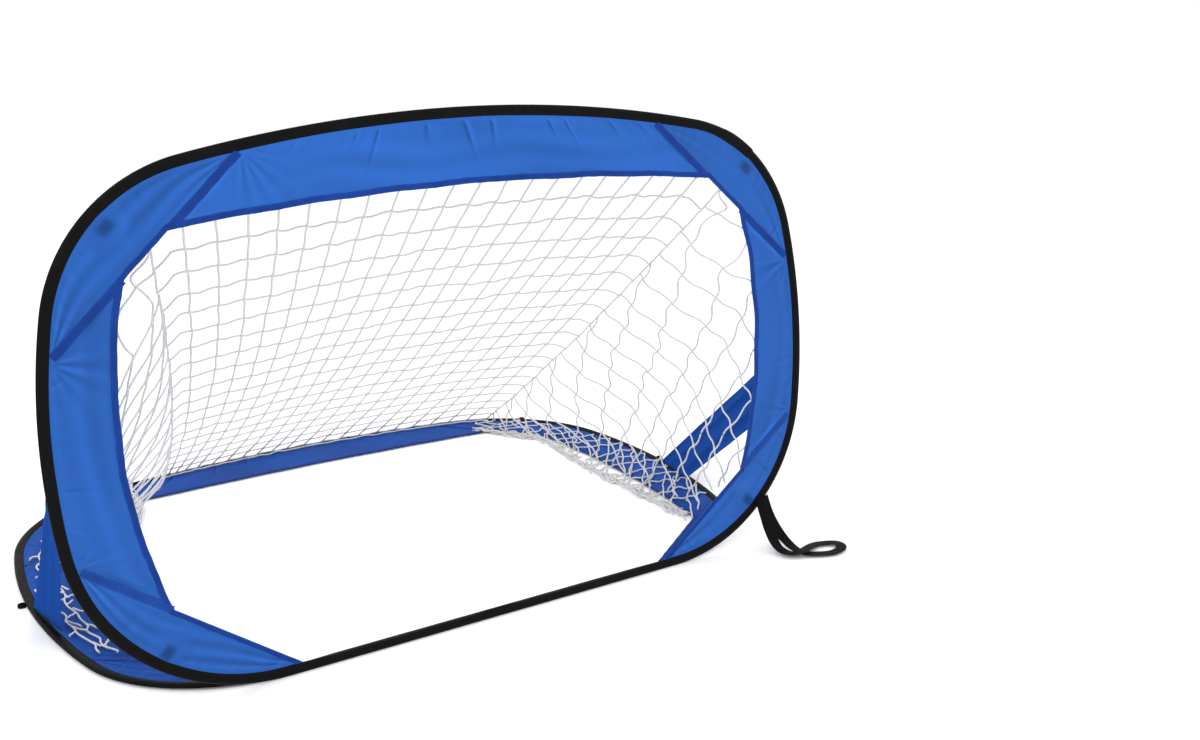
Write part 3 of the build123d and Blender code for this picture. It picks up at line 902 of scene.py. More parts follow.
def tubes(lines, radius, sides=6):
    """Round tubes along many lines at once: points, faces, UVs and end faces.

    A ring of each tube is its line's point plus the radius times the cosine and sine of the ring's
    angle along two directions square to the line.
    """
    angle = np.linspace(0, 2 * math.pi, sides, endpoint=False)
    all_points, all_faces, all_uvs, all_ends = [], [], [], []
    total = 0
    for line in lines:
        tangent = unit(np.gradient(line, axis=0))
        helper = np.where(np.abs(tangent[:, 2:3]) > 0.9, [[1.0, 0.0, 0.0]], [[0.0, 0.0, 1.0]])
        first = unit(np.cross(tangent, helper))
        second = np.cross(tangent, first)
        ring = np.cos(angle)[None, :, None] * first[:, None] + np.sin(angle)[None, :, None] * second[:, None]
        points = line[:, None] + radius * ring
        faces, steps = grid_faces(len(line), sides, wrap_cols=True)
        uvs = grid_uvs(steps, lengths(line), np.linspace(0, 1, sides + 1))
        index = np.arange(sides)
        all_points.append(points.reshape(-1, 3))
        all_faces.append(faces[:, ::-1] + total)
        all_uvs.append(uvs.reshape(-1, 4, 2)[:, ::-1].reshape(-1, 2))
        all_ends.append(np.stack([index, (len(line) - 1) * sides + index[::-1]]) + total)
        total += len(line) * sides
    return tuple(np.concatenate(part) for part in (all_points, all_faces, all_uvs, all_ends))


def knots(centres, radius):
    """Small eight-cornered lumps, one at each knot: a cube's corners drawn in to a ball."""
    signs = np.array([[x, y, z] for x in (-1, 1) for y in (-1, 1) for z in (-1, 1)], float)
    rings = np.concatenate([signs / math.sqrt(3), np.eye(3), -np.eye(3)])
    corner = {0: (0, 1, 3, 2), 1: (4, 6, 7, 5), 2: (0, 4, 5, 1), 3: (2, 3, 7, 6), 4: (0, 2, 6, 4), 5: (1, 5, 7, 3)}
    pole = {0: 11, 1: 8, 2: 12, 3: 9, 4: 13, 5: 10}
    triangles = [(a, b, pole[k]) for k, ring in corner.items() for a, b in zip(ring, ring[1:] + ring[:1])]
    triangles = np.array(triangles)
    points = centres[:, None] + radius * rings[None] * np.array([1.0, 1.0, 1.25])
    faces = triangles[None] + (np.arange(len(centres)) * len(rings))[:, None, None]
    return points.reshape(-1, 3), faces.reshape(-1, 3)


def net_piece(name, lines, centres, nodes, material):
    """One part of the net: its twines as tubes, with a lump at each knot."""
    radius = nets().twine / 2
    points, faces, uvs, ends = tubes(lines, radius)
    piece = make_object(name, points, faces, uvs, material, ends)
    if len(centres):
        lump_points, lump_faces = knots(np.asarray(centres), radius * 1.75)
        lump = make_object(name + "_knots", lump_points, lump_faces, np.zeros((0, 2)), material)
        fix_facing(lump)
        with bpy.context.temp_override(active_object=piece, selected_editable_objects=[piece, lump]):
            bpy.ops.object.join()
    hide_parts(*nodes)
    return piece


class NetShape:
    """The net's surfaces: the sagging back, and a side that joins it to the mouth and the floor."""

    def __init__(self):
        self.front = Layout(True)
        self.base = Layout(False)
        n = nets()
        x = np.linspace(-n.top_half, n.top_half, 400)
        hem = np.interp(x, self.front.hem[:, 0], self.front.hem[:, 1])
        far_in, far_out = self.front.far_in, self.front.far_out
        chord = far_in[1] + (np.abs(x) - far_in[0]) * (far_out[1] - far_in[1]) / (far_out[0] - far_in[0])
        self.top_x, self.top_v = x, np.minimum(hem, chord) + 0.004
        mouth = np.concatenate([self.front.side[::-1], [self.front.far_hem_end]])
        self.mouth_x, self.mouth_z = mouth[:, 0] + 0.002, mouth[:, 1]
        edge = hoop_curve(False, hoops().sleeve_width - 0.003)
        rear = edge[edge[:, 1] > 0.6 * hoops().base_depth]
        order = np.argsort(rear[:, 0])
        self.rear_x, self.rear_y = rear[order, 0], rear[order, 1]

    def back(self, share, t):
        """Point of the back: share runs from -1 to 1 across it, t from 0 at the mouth to 1 at the rear.

        The straight line from the mouth to the rear edge, hung under it by sag * 4t(1 - t), and drawn in
        from both sides by waist * 4t(1 - t) of its distance from the middle, less near the left edge.
        """
        n = nets()
        x0 = share * n.top_half
        top = in_place(True, np.stack([x0, np.interp(x0, self.top_x, self.top_v)], axis=-1), -0.0012)
        x1 = self.foot_x(x0)
        y1 = np.interp(x1, self.rear_x, self.rear_y) + BASE_LOW[1]
        foot = np.stack([x1, y1, np.full_like(x1, SLEEVE_THICK + 0.0012)], axis=-1)
        t3 = t[..., None]
        point = top * (1 - t3) + foot * t3
        edge = smooth_step((-share - 0.7) / 0.3)
        point[..., 0] -= x0 * n.waist * (1 - 0.6 * edge) * 4 * t * (1 - t)
        down = unit(foot - top)
        under = np.stack([np.zeros_like(x0), down[..., 2], -down[..., 1]], axis=-1)
        return point + under * (4 * n.sag * t * (1 - t))[..., None]

    def foot_x(self, x):
        """Where a column meets the rear edge: evenly to the right, drawn together at the left corner."""
        n = nets()
        even, ratio = 0.57 * n.top_half, 0.76
        left = n.foot_left - ratio * even
        drawn = ratio * even + left * (1 - np.exp(-ratio * (np.abs(x) - even) / left))
        right = x * n.foot_right / n.top_half
        return np.where(x < -even, -drawn, np.where(x > 0, right, x * ratio))

    def side_x(self, y, z, side):
        """How far out the side lies at a depth and height: from the back's edge out to the mouth's hem."""
        t = np.linspace(0, 1, 200)
        edge = self.back(np.full(200, float(side)), t)
        order = np.argsort(edge[:, 1])
        edge_x = np.interp(y, edge[order, 1], np.abs(edge[order, 0]))
        edge_z = np.interp(y, edge[order, 1], edge[order, 2])
        under = smooth_step((edge_z - z) / 0.22)
        mouth_x = np.interp(z, self.mouth_z, self.mouth_x)
        behind = y - in_place(True, np.stack([mouth_x, z], axis=-1))[..., 1]
        near_mouth = 1 - smooth_step(behind / 0.22)
        low_x = 0.489 + (mouth_x - 0.489) * near_mouth
        share = np.maximum(under, (1 - smooth_step(behind / 0.06)) * smooth_step((edge_z - z) / 0.03))
        return side * (edge_x + (low_x - edge_x) * share), edge_z


def back_lines(shape):
    """Twines of the back: down the slope and across it, with a slack wave between knots."""
    n = nets()
    rng = np.random.default_rng(41)
    columns = int(round(2 * n.top_half / n.bar))
    rows = n.rows
    per = 7
    col_share = np.linspace(-1, 1, columns + 1)
    fall = np.linspace(0, 1, 400)
    run = lengths(shape.back(np.zeros(400), fall))
    row_t = np.interp(np.linspace(0, run[-1], rows + 1), run, fall)
    drift_x = 0.0011 * rng.standard_normal((rows + 1, columns + 1)) / n.top_half
    drift_t = 0.0016 * rng.standard_normal((rows + 1, columns + 1))
    drift_t[0] = drift_t[-1] = drift_x[0] = drift_x[-1] = 0
    drift_t += 0.004 * np.sin(row_t * math.pi)[:, None] * waves(col_share * 1.3 + 0.2, rng, 4, 0.5, 2)[None, :]
    share = col_share[None, :] + drift_x
    t = row_t[:, None] + drift_t
    lines = []
    fine = np.linspace(0, rows, rows * per + 1)
    whole = fine % 1.0
    for c in range(columns + 1):
        s = np.interp(fine, np.arange(rows + 1), share[:, c])
        s += 0.0005 / n.top_half * np.sin(2 * math.pi * whole) * rng.choice([-1, 1])
        lines.append(shape.back(s, np.clip(np.interp(fine, np.arange(rows + 1), t[:, c]), 0, 1)))
    fine = np.linspace(0, columns, columns * per + 1)
    whole = fine % 1.0
    for r in range(1, rows):
        s = np.interp(fine, np.arange(columns + 1), share[r])
        slack = np.interp(np.floor(fine), np.arange(columns + 1), rng.uniform(0.5, 1.4, columns + 1))
        wave = 0.0011 * np.sin(math.pi * whole) + 0.0019 * np.sin(2 * math.pi * whole)
        tt = np.interp(fine, np.arange(columns + 1), t[r]) + slack * wave
        lines.append(shape.back(s, np.clip(tt, 0, 1)))
    for drop in (0.004, 0.011):
        fine = np.linspace(-1, 1, 400)
        line = shape.back(fine, np.ones(400))
        line[:, 1] -= drop + 0.002 * waves(fine, rng, 6, 2, 9)
        line[:, 2] += 0.0007 + 0.0012 * (1 + waves(fine, rng, 6, 3, 12)) - 0.0022 * (drop > 0.008)
        lines.append(line)
    centres = shape.back(share[1:-1].ravel(), t[1:-1].ravel())
    return lines, centres


def side_lines(shape, side, seed):
    """Twines of a side: two slanting families over the triangle between back, mouth and floor.

    Each twine is a straight line of the plane of depth and height, bent into an S between knots,
    and kept where it lies under the back's edge, behind the mouth's hem and above the floor.
    """
    rng = np.random.default_rng(seed)
    a, b = np.array([-0.037, 0.052]), np.array([-0.037, -0.037])
    lines, centres = [], []
    phase = rng.uniform(0, 10, 4)

    def warp(p):
        """Slow drift of the knots, so that the meshes differ."""
        y, z = p[..., 0], p[..., 1]
        dy = 0.007 * np.sin(9 * y + 7 * z + phase[0]) + 0.003 * np.sin(31 * y - 23 * z + phase[1])
        dz = 0.006 * np.sin(8 * z - 11 * y + phase[2]) + 0.003 * np.sin(27 * z + 37 * y + phase[3])
        return np.stack([y + dy, z + dz], axis=-1)

    floor = SLEEVE_THICK + 0.002
    origin = np.array([FOLD_Y + 0.5, 0.2])
    per = 14
    for along, across in ((a, b), (b, a)):
        sideways = unit(np.array([-along[1], along[0]]))
        for k in range(-22, 23):
            steps = np.linspace(-24, 24, 48 * per + 1)
            whole = steps % 1.0
            bend = (0.0029 if side > 0 else 0.0016) * np.sin(2 * math.pi * whole)
            line = origin + k * across + steps[:, None] * along + bend[:, None] * sideways
            line = warp(line)
            y, z = line[:, 0], line[:, 1]
            x, edge_z = shape.side_x(y, z, side)
            hem_y = in_place(True, np.stack([x, z], axis=-1), -0.0012)[:, 1]
            keep = (z <= edge_z + 0.001) & (z >= floor) & (y >= hem_y) & (y < BASE_HIGH[1] - 0.06)
            keep &= (z > np.interp(y, [FOLD_Y, FOLD_Y + 0.16, FOLD_Y + 0.3], [0.135, 0.02, floor]))
            index = np.nonzero(keep)[0]
            if len(index) < per // 2:
                continue
            for piece in np.split(index, np.nonzero(np.diff(index) > 1)[0] + 1):
                if len(piece) < 6:
                    continue
                whole_run = np.arange(max(piece[0] - 1, 0), min(piece[-1] + 2, len(x)))
                ends_y = np.maximum(y[whole_run], hem_y[whole_run])
                ends_z = np.clip(z[whole_run], floor, np.maximum(edge_z[whole_run], floor))
                lines.append(np.stack([x[whole_run], ends_y, ends_z], axis=-1))
                if along is a:
                    at_knot = piece[np.abs(whole[piece] - np.round(whole[piece])) < 0.5 / per]
                    centres += [np.array([x[i], y[i], z[i]]) for i in at_knot[1:-1]]
    return lines, centres


def gather_lines(rng):
    """Strands that hang from the left rear corner on to the ground, loose round a common line."""
    knots_at = np.array([
        [-0.345, 0.425, 0.012], [-0.350, 0.385, 0.012], [-0.355, 0.335, 0.009],
        [-0.362, 0.285, 0.006], [-0.372, 0.225, 0.005], [-0.384, 0.175, 0.004]])
    middle = resample(knots_at, 60)
    t = np.linspace(0, 1, 60)
    lines = []
    for _ in range(9):
        loose = 0.004 + 0.010 * np.sin(math.pi * t) ** 0.7
        line = middle.copy()
        line[:, 0] += loose * waves(t, rng, 4, 0.7, 2.6)
        line[:, 1] += 0.5 * loose * waves(t, rng, 4, 0.7, 2.6)
        line[:, 2] += 0.006 * (1 + waves(t, rng, 4, 0.7, 2.6))
        lines.append(line[: int(rng.uniform(42, 60))])
    return lines


def slack_lines(shape, side, seed):
    """Slack net on the base: loose meshes over the side band."""
    rng = np.random.default_rng(seed)
    inner, outer = shape.base.panel("side", side, 400)
    far_inner, far_outer = shape.base.panel("far_corner", side, 400)
    along_in = np.concatenate([far_inner[80:200][::-1][::-1], inner])
    along_out = np.concatenate([far_outer[80:200], outer])
    keep = along_in[:, 1] > 0.14
    along_in, along_out = resample(along_in[keep], 500), resample(along_out[keep], 500)
    run = lengths(along_in)
    top = SLEEVE_THICK / 2 + 0.0024
    lines = []

    def place(at, share, height):
        """Point at a distance along the band, share of the way from inner edge to sleeve."""
        ix = np.stack([np.interp(at, run, along_in[:, k]) for k in (0, 1)], axis=-1)
        ox = np.stack([np.interp(at, run, along_out[:, k]) for k in (0, 1)], axis=-1)
        flat = ix + (ox - ix) * share[..., None]
        return np.stack([flat[..., 0], flat[..., 1] + BASE_LOW[1], height], axis=-1)

    total = run[-1]
    pitch = 0.042
    for layer, lean in enumerate((-1, 1)):
        for start in np.arange(-0.08, total, pitch):
            share = np.linspace(1.02, -0.30, 44)
            middle = np.sin(math.pi * np.linspace(0, 1, 44))
            at = start + lean * (1 - share) * 0.075 * rng.uniform(0.75, 1.25)
            at = at + 0.009 * waves(share, rng, 4, 0.8, 3.0)
            wobble = 0.06 * waves(share, rng, 4, 1.0, 3.0) * middle
            rise = top + 0.0012 * layer + 0.0012 * (1 + waves(share, rng, 4, 1.0, 3.0)) * middle
            rise = rise + (0.0035 - rise) * smooth_step((0.02 - share) / 0.1)
            inside = (at > 0.0) & (at < total)
            if inside.sum() >= 12:
                lines.append(place(at[inside], (share + wobble)[inside], rise[inside]))
    return lines, place, total, rng


def branch_lines(place, total, rng):
    """Sparse slack over a band: wandering twines along it, with short side twines off their knots."""
    top = SLEEVE_THICK / 2 + 0.0035
    lines = []
    for level in (0.32, 0.56, 0.76):
        at = np.linspace(0.02, total - 0.01, 260)
        share = level + 0.10 * waves(at, rng, 5, 6, 20)
        rise = top + 0.002 * (1 + waves(at, rng, 5, 6, 20))
        lines.append(place(at + 0.005 * waves(at, rng, 4, 10, 22), share, rise))
        knots_at = np.arange(0.04, total - 0.03, 0.043) + rng.uniform(-0.01, 0.01, len(np.arange(0.04, total - 0.03, 0.043)))
        for n, k in enumerate(knots_at):
            root = np.interp(k, at, share)
            t = np.linspace(0, 1, 16)
            way = (-1) ** n * rng.uniform(0.12, 0.22)
            side_at = k + 0.022 * t * rng.choice([-1, 1]) + 0.004 * waves(t, rng, 3, 0.7, 2)
            lines.append(place(side_at, np.clip(root + way * t, 0.0, 0.93), np.full(16, top + 0.002)))
    return lines


def bunch_lines(place, total, rng, strands, side):
    """Selvage and loose loops gathered inside the band's inner edge, down on the ground."""
    radius = nets().twine / 2
    lines = []
    at = np.linspace(0.01, total - 0.02, 420)
    hang = -0.06 - 0.42 * np.sin(math.pi * at / total) ** 0.8
    for _ in range(strands):
        share = hang + 0.09 * waves(at / total, rng, 6, 2, 9) + 0.05 * waves(at / total, rng, 5, 8, 20)
        share += rng.uniform(-0.05, 0.05)
        height = radius + 0.0008 + 0.0035 * (1 + waves(at / total, rng, 6, 3, 14))
        lines.append(place(at, share, height))
    loops = int(total / 0.026)
    for k in range(loops):
        middle = (k + rng.uniform(0.1, 0.9)) * total / loops
        angle = np.linspace(rng.uniform(0, 2), rng.uniform(4.5, 6.2), 26)
        size = rng.uniform(0.010, 0.021)
        at = np.clip(middle + size * np.cos(angle), 0.002, total - 0.002)
        root = -0.06 - 0.40 * math.sin(math.pi * middle / total) ** 0.8
        share = root + rng.uniform(-0.08, 0.08) + size * 8 * np.sin(angle)
        height = radius + 0.0008 + 0.003 * (1 + np.sin(2 * angle))
        lines.append(place(at, share, height))
    return lines


# ---------------------------------------------------------------- operators

MATERIALS = {}


def material(key):
    """A material of the goal by its key, made when it is first asked for."""
    if key not in MATERIALS:
        c, s = colours(), hoops()
        makers = {
            "front_cloth": lambda: cloth_material("Front cloth", c.front_cloth, 0.09),
            # painted shade: the stays and base take the darker copy of the cloth colour
            "stay_cloth": lambda: cloth_material("Stay cloth", c.base_cloth, 0.0),
            "base_cloth": lambda: cloth_material("Base cloth", c.base_cloth, 0.03),
            "upper_tape": lambda: tape_material("Upper seam tape", c.tape, cloths().tape_width),
            "lower_tape": lambda: tape_material("Lower seam tape", c.low_tape, cloths().tape_width),
            "rear_tape": lambda: tape_material("Rear seam tape", c.low_tape, cloths().tape_width),
            "front_tape": lambda: tape_material("Front seam tape", c.low_tape, cloths().tape_width),
            "hem_tape": lambda: tape_material("Hem tape", c.tape, cloths().hem_width),
            "sleeve": lambda: sleeve_material("Hoop sleeve", c.sleeve, 0.78 * s.sleeve_width, 2.1 * s.sleeve_width),
            "webbing": lambda: webbing_material("Webbing", c.webbing, 0.018),
            "twine": lambda: twine_material("Net twine", c.twine),
            "steel": lambda: steel_material("Spring steel"),
            "tab": lambda: tab_material("Corner tab", c.webbing),
            "floor": lambda: floor_material("Studio floor", c.floor),
        }
        MATERIALS[key] = makers[key]()
    return MATERIALS[key]


class GoalOperator(bpy.types.Operator):
    """Shared settings of the goal's operators."""

    bl_options = {"REGISTER", "UNDO"}


class GOAL_OT_wires(GoalOperator):
    """Give the spring wires and their ferrules their steel."""

    bl_idname = "goal.wires"
    bl_label = "Spring wires"

    def execute(self, context):
        for node in ("base_hoop_wire", "base_wire_ferrule", "front_hoop_wire", "front_wire_ferrule"):
            target = frame["nodes"][node]
            target.data.materials.clear()
            target.data.materials.append(material("steel"))
        return {"FINISHED"}


class GOAL_OT_sleeves(GoalOperator):
    """Make the black sleeves of both hoops."""

    bl_idname = "goal.sleeves"
    bl_label = "Hoop sleeves"

    def execute(self, context):
        for front, word, body, seed in ((True, "front", "front_frame", 3), (False, "base", "base", 8)):
            piece = sleeve_piece(word + "_sleeve_cloth", front, word + "_hoop_sleeve", seed, material("sleeve"))
            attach(piece, body)
        return {"FINISHED"}


PANELS = (
    ("far", 0, "top_panel", "rear_panel"),
    ("side", -1, "left_panel", "left_panel"),
    ("side", 1, "right_panel", "right_panel"),
    ("far_corner", -1, "upper_left_corner", "rear_left_corner"),
    ("far_corner", 1, "upper_right_corner", "rear_right_corner"),
    ("near_corner", -1, "lower_left_corner", "front_left_corner"),
    ("near_corner", 1, "lower_right_corner", "front_right_corner"),
)


class GOAL_OT_panels(GoalOperator):
    """Make the cloth panels of both hoops."""

    bl_idname = "goal.panels"
    bl_label = "Cloth panels"

    def execute(self, context):
        for front, word, body in ((True, "front", "front_frame"), (False, "base", "base")):
            layout = Layout(front)
            for number, (part, side, front_name, base_name) in enumerate(PANELS):
                node = f"{word}_{front_name if front else base_name}"
                seed = 100 * (1 + front) + number
                piece = cloth_panel(node + "_cloth", layout, part, side, node, seed, material(word + "_cloth"))
                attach(piece, body)
        return {"FINISHED"}


class GOAL_OT_tapes(GoalOperator):
    """Make the dark tapes on the seams and hems of both hoops."""

    bl_idname = "goal.tapes"
    bl_label = "Seam and hem tapes"

    def execute(self, context):
        width, hem = cloths().tape_width, cloths().hem_width
        lift = 0.0009
        for front, word, body in ((True, "front", "front_frame"), (False, "base", "base")):
            lay = Layout(front)
            far_word, near_word = ("upper", "lower") if front else ("rear", "front")
            pieces = []
            middle = np.array([0.0, 0.4])
            for side, name in ((-1, "left"), (1, "right")):
                flip = np.array([side, 1.0])
                for stops, place in (
                        ((lay.far_in, lay.far_hem_end, lay.side_top, lay.far_out), far_word),
                        ((lay.near_out, lay.side_low, lay.near_in), near_word)):
                    node = f"{word}_{place}_{name}_seam_tape"
                    for number, (start, stop) in enumerate(zip(stops, stops[1:])):
                        free = number == 1
                        way = unit(stop - start)
                        inner = free and number < len(stops) - 2
                        trim = 0.005 * way
                        line = np.stack([start - trim if free else start + trim, stop + trim if inner else stop - trim])
                        out = unit((start + stop) / 2 * flip - middle)
                        wide = 0.85 * hem if free else width
                        back = 0.0 if free else width / 2
                        key = "hem_tape" if free else place + "_tape"
                        piece = ribbon(
                            f"{node}_cloth_{number}", front, line * flip - out * back, out, wide,
                            lift * (0.8 if free else 1.0), 60 + len(pieces), material(key))
                        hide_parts(node)
                        pieces.append(piece)
                node = f"{word}_{name}_hem_tape"
                pieces.append(ribbon(node + "_cloth", front, lay.sides[side] * flip, flip * (1, 0), hem, lift * 0.8, 70 + len(pieces), material("hem_tape")))
                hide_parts(node)
            node = "front_top_hem_tape" if front else "base_rear_hem_tape"
            pieces.append(ribbon(node + "_cloth", front, lay.hem, np.array([0.0, 1.0]), hem, lift * 0.8, 80, material("hem_tape")))
            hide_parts(node)
            for piece in pieces:
                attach(piece, body)
        return {"FINISHED"}


class GOAL_OT_net(GoalOperator):
    """Make the back, the sides and the slack of the net."""

    bl_idname = "goal.net"
    bl_label = "Net"

    def execute(self, context):
        shape = NetShape()
        twine = material("twine")
        foot = np.array([0.0, BASE_HIGH[1] - 0.02, 0.01])
        top = np.array([0.0, FOLD_Y + 0.04, 0.645])
        start, end = foot + 0.15 * (top - foot), foot + 1.03 * (top - foot)
        lines, centres = back_lines(shape)
        back = net_piece("net_back_twine", lines, centres, ["net_back"], twine)
        tuple(start)
        tuple(end)
        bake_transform(back)
        for side, word, seed in ((-1, "left", 51), (1, "right", 52)):
            lines, centres = side_lines(shape, side, seed)
            piece = net_piece(f"net_{word}_twine", lines, centres, [f"net_{word}_side"], twine)
            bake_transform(piece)
            slack, place, total, rng = slack_lines(shape, side, seed + 10)
            if side < 0:
                slack = branch_lines(place, total, rng)
            slack += bunch_lines(place, total, rng, 4, side)
            if side < 0:
                slack += gather_lines(rng)
            loose = net_piece(f"net_{word}_slack_twine", slack, [], [f"net_{word}_side"], twine)
            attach(loose, "base")
        return {"FINISHED"}


class GOAL_OT_stays(GoalOperator):
    """Make the cloth stays between the two hoops."""

    bl_idname = "goal.stays"
    bl_label = "Stays"

    def execute(self, context):
        for side, word in ((-1, "left"), (1, "right")):
            rng = np.random.default_rng(31 + side)
            low, high = (np.array(corner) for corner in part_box(word + "_stay"))
            x = (low[0] + high[0]) / 2
            lean = math.tan(hoops().lean)
            top = np.array([[x, FOLD_Y + 0.003 + z * lean, z] for z in (0.245, high[2])])
            foot = np.array([[x - 0.022 * side, BASE_LOW[1] + 0.3, low[2]], [x, high[1], low[2]]])
            rows, cols = 130, 34
            u, v = np.linspace(0, 1, rows), np.linspace(0, 1, cols)
            ends_top = top[0] * (1 - v[:, None]) + top[1] * v[:, None]
            ends_foot = foot[0] * (1 - v[:, None]) + foot[1] * v[:, None]
            flat = ends_top[None] * (1 - u[:, None, None]) + ends_foot[None] * u[:, None, None]
            folds = waves(v[None, :] * 1.5 + 0.2 * u[:, None], rng, 5, 1.0, 3.2)
            fade = np.sin(math.pi * np.clip(u, 0.02, 0.98))[:, None] ** 0.5
            flat[..., 0] += 0.0035 * folds * fade + 0.0015 * waves(u[:, None] * 2, rng, 4, 1, 4) * fade
            faces, steps = grid_faces(rows, cols)
            length = float(np.linalg.norm(flat[-1, 0] - flat[0, 0]))
            uvs = grid_uvs(steps, u * length, v * 0.09)
            piece = make_object(word + "_stay_cloth", flat.reshape(-1, 3), faces, uvs, material("stay_cloth"))
            # painted shade: both stays painted darker, the left one more than the right, with painted light and shade
            # across their folds and darker troughs
            set_values(piece, "crease_shade", np.clip(-folds * fade - 0.1, 0, 1))
            set_values(piece, "painted_shading", (0.03 * side - 0.14) * np.ones_like(folds) + 0.35 * folds * fade)
            thicken(piece, cloths().cloth)
            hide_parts(word + "_stay")
            area = float(cell_area(flat[..., 1:]))
            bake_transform(piece)
        return {"FINISHED"}


def strip(name, line, across, width, thick, material, closed=False):
    """Flat webbing along a line: an oval section, wide along across and thin square to it."""
    if closed:
        tangent = unit(np.roll(line, -1, axis=0) - np.roll(line, 1, axis=0))
        run = np.append(lengths(line), lengths(line)[-1] + np.linalg.norm(line[0] - line[-1]))
    else:
        tangent = unit(np.gradient(line, axis=0))
        run = lengths(line)
    across = unit(across - (across * tangent).sum(axis=1, keepdims=True) * tangent)
    normal = np.cross(tangent, across)
    angle = np.linspace(0, 2 * math.pi, 22, endpoint=False)
    wide = np.sign(np.cos(angle)) * np.abs(np.cos(angle)) ** 0.5 * width / 2
    high = np.sign(np.sin(angle)) * np.abs(np.sin(angle)) ** 0.7 * thick / 2
    points = line[:, None] + wide[None, :, None] * across[:, None] + high[None, :, None] * normal[:, None]
    faces, steps = grid_faces(len(line), len(angle), wrap_rows=closed, wrap_cols=True)
    v = width * np.concatenate([(1 + np.cos(angle)) / 2, [1.0]])
    ring = np.arange(len(angle))
    ends = None if closed else np.stack([ring[::-1], (len(line) - 1) * len(angle) + ring])
    piece = make_object(name, points.reshape(-1, 3), faces, grid_uvs(steps, run, v), material, ends)
    fix_facing(piece)
    return piece


def spline(points, count):
    """A smooth line through points: Catmull-Rom, each stretch a cubic of its four nearest points."""
    points = np.concatenate([[2 * points[0] - points[1]], points, [2 * points[-1] - points[-2]]])
    at = np.linspace(0, len(points) - 3 - 1e-9, count)
    k = at.astype(int)
    t = (at - k)[:, None]
    a, b, c, d = (points[k + j] for j in range(4))
    return 0.5 * (2 * b + (c - a) * t + (2 * a - 5 * b + 4 * c - d) * t**2 + (3 * b - a - 3 * c + d) * t**3)


STRAP_ROUTE = (
    (0.507, -0.009, 0.0835), (0.508, -0.024, 0.0560), (0.513, -0.041, 0.0320), (0.518, -0.062, 0.0150),
    (0.521, -0.081, 0.0080), (0.529, -0.098, 0.0050), (0.548, -0.110, 0.0040), (0.567, -0.118, 0.0040),
    (0.587, -0.116, 0.0040), (0.599, -0.106, 0.0050), (0.599, -0.093, 0.0050), (0.586, -0.082, 0.0040),
    (0.566, -0.078, 0.0045), (0.542, -0.087, 0.0075), (0.520, -0.096, 0.0095), (0.505, -0.088, 0.0070),
    (0.498, -0.072, 0.0085), (0.494, -0.059, 0.0190), (0.494, -0.044, 0.0370), (0.498, -0.027, 0.0560),
    (0.502, -0.009, 0.0790))


class GOAL_OT_trims(GoalOperator):
    """Make the closing strap, the peg loops, and give the corner tabs their webbing."""

    bl_idname = "goal.trims"
    bl_label = "Strap, tabs and loops"

    def execute(self, context):
        t = trims()
        route = spline(np.array(STRAP_ROUTE) + (0, FOLD_Y, 0), 170)
        run = lengths(route) / lengths(route)[-1]
        way = np.gradient(route, axis=0)
        level = unit(np.stack([-way[:, 1], way[:, 0], np.zeros(len(way))], axis=-1))
        sewn = np.where(run[:, None] < 0.5, 1.0, -1.0) * np.array([0.70, 0.0, 0.71])
        share = smooth_step((np.minimum(run, 1 - run) - 0.07) / 0.2)[:, None]
        across = sewn * (1 - share) + level * share
        strap = strip("closing_strap_webbing", route, across, t.strap_width, t.strap_thick, material("webbing"))
        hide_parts("closing_strap")
        tuple(route[0])
        float(lengths(route)[-1])
        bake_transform(strap)
        loops = []
        edge = hoop_curve(False)
        for side, near in ((-1, 0.440), (1, 0.440), (-1, 0.830), (1, 0.830)):
            spot = edge[np.argmin(np.abs(edge[:, 1] - near) + 10 * (edge[:, 0] * side < 0))]
            ahead = edge[(np.argmin(np.linalg.norm(edge - spot, axis=1)) + 1) % len(edge)]
            along = unit(ahead - spot)
            out = np.array([along[1], -along[0]])
            centre = spot + out * (t.loop_radius + 0.0008)
            angle = np.linspace(-math.pi, math.pi, 40, endpoint=False)
            ring = t.loop_radius + 0.0007
            flat = centre + ring * (np.cos(angle)[:, None] * out + np.sin(angle)[:, None] * along * 1.0)
            line = np.stack([flat[:, 0], flat[:, 1] + BASE_LOW[1], np.full(40, 0.0029)], axis=-1)
            up = np.tile([0.0, 0.0, 1.0], (40, 1))
            loops.append(strip(f"peg_loop_{len(loops)}", line, up, 0.0056, 0.0012, material("webbing"), closed=True))
            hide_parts("base_peg_loops")
            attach(loops[-1], "base")
        tabs = frame["nodes"]["front_corner_tabs"]
        tabs.data.materials.clear()
        tabs.data.materials.append(material("tab"))
        return {"FINISHED"}


def tab_material(name, colour):
    """Hook patch: fine rows of stubs."""
    s = Shader(name)
    place = s.add("SeparateXYZ", {0: s.add("TexCoord").outputs["Object"]})
    rows = s.weave(place.outputs[0], place.outputs[2], 0.0016)
    grain = s.ramp(s.noise(60.0, 4.0), 0.4, 0.7)
    base = s.mix(grain, shade(colour, 0.9), shade(colour, 1.8))
    return s.done(base, 0.65, s.bump(rows, 0.5, 0.0003), specular=0.2)


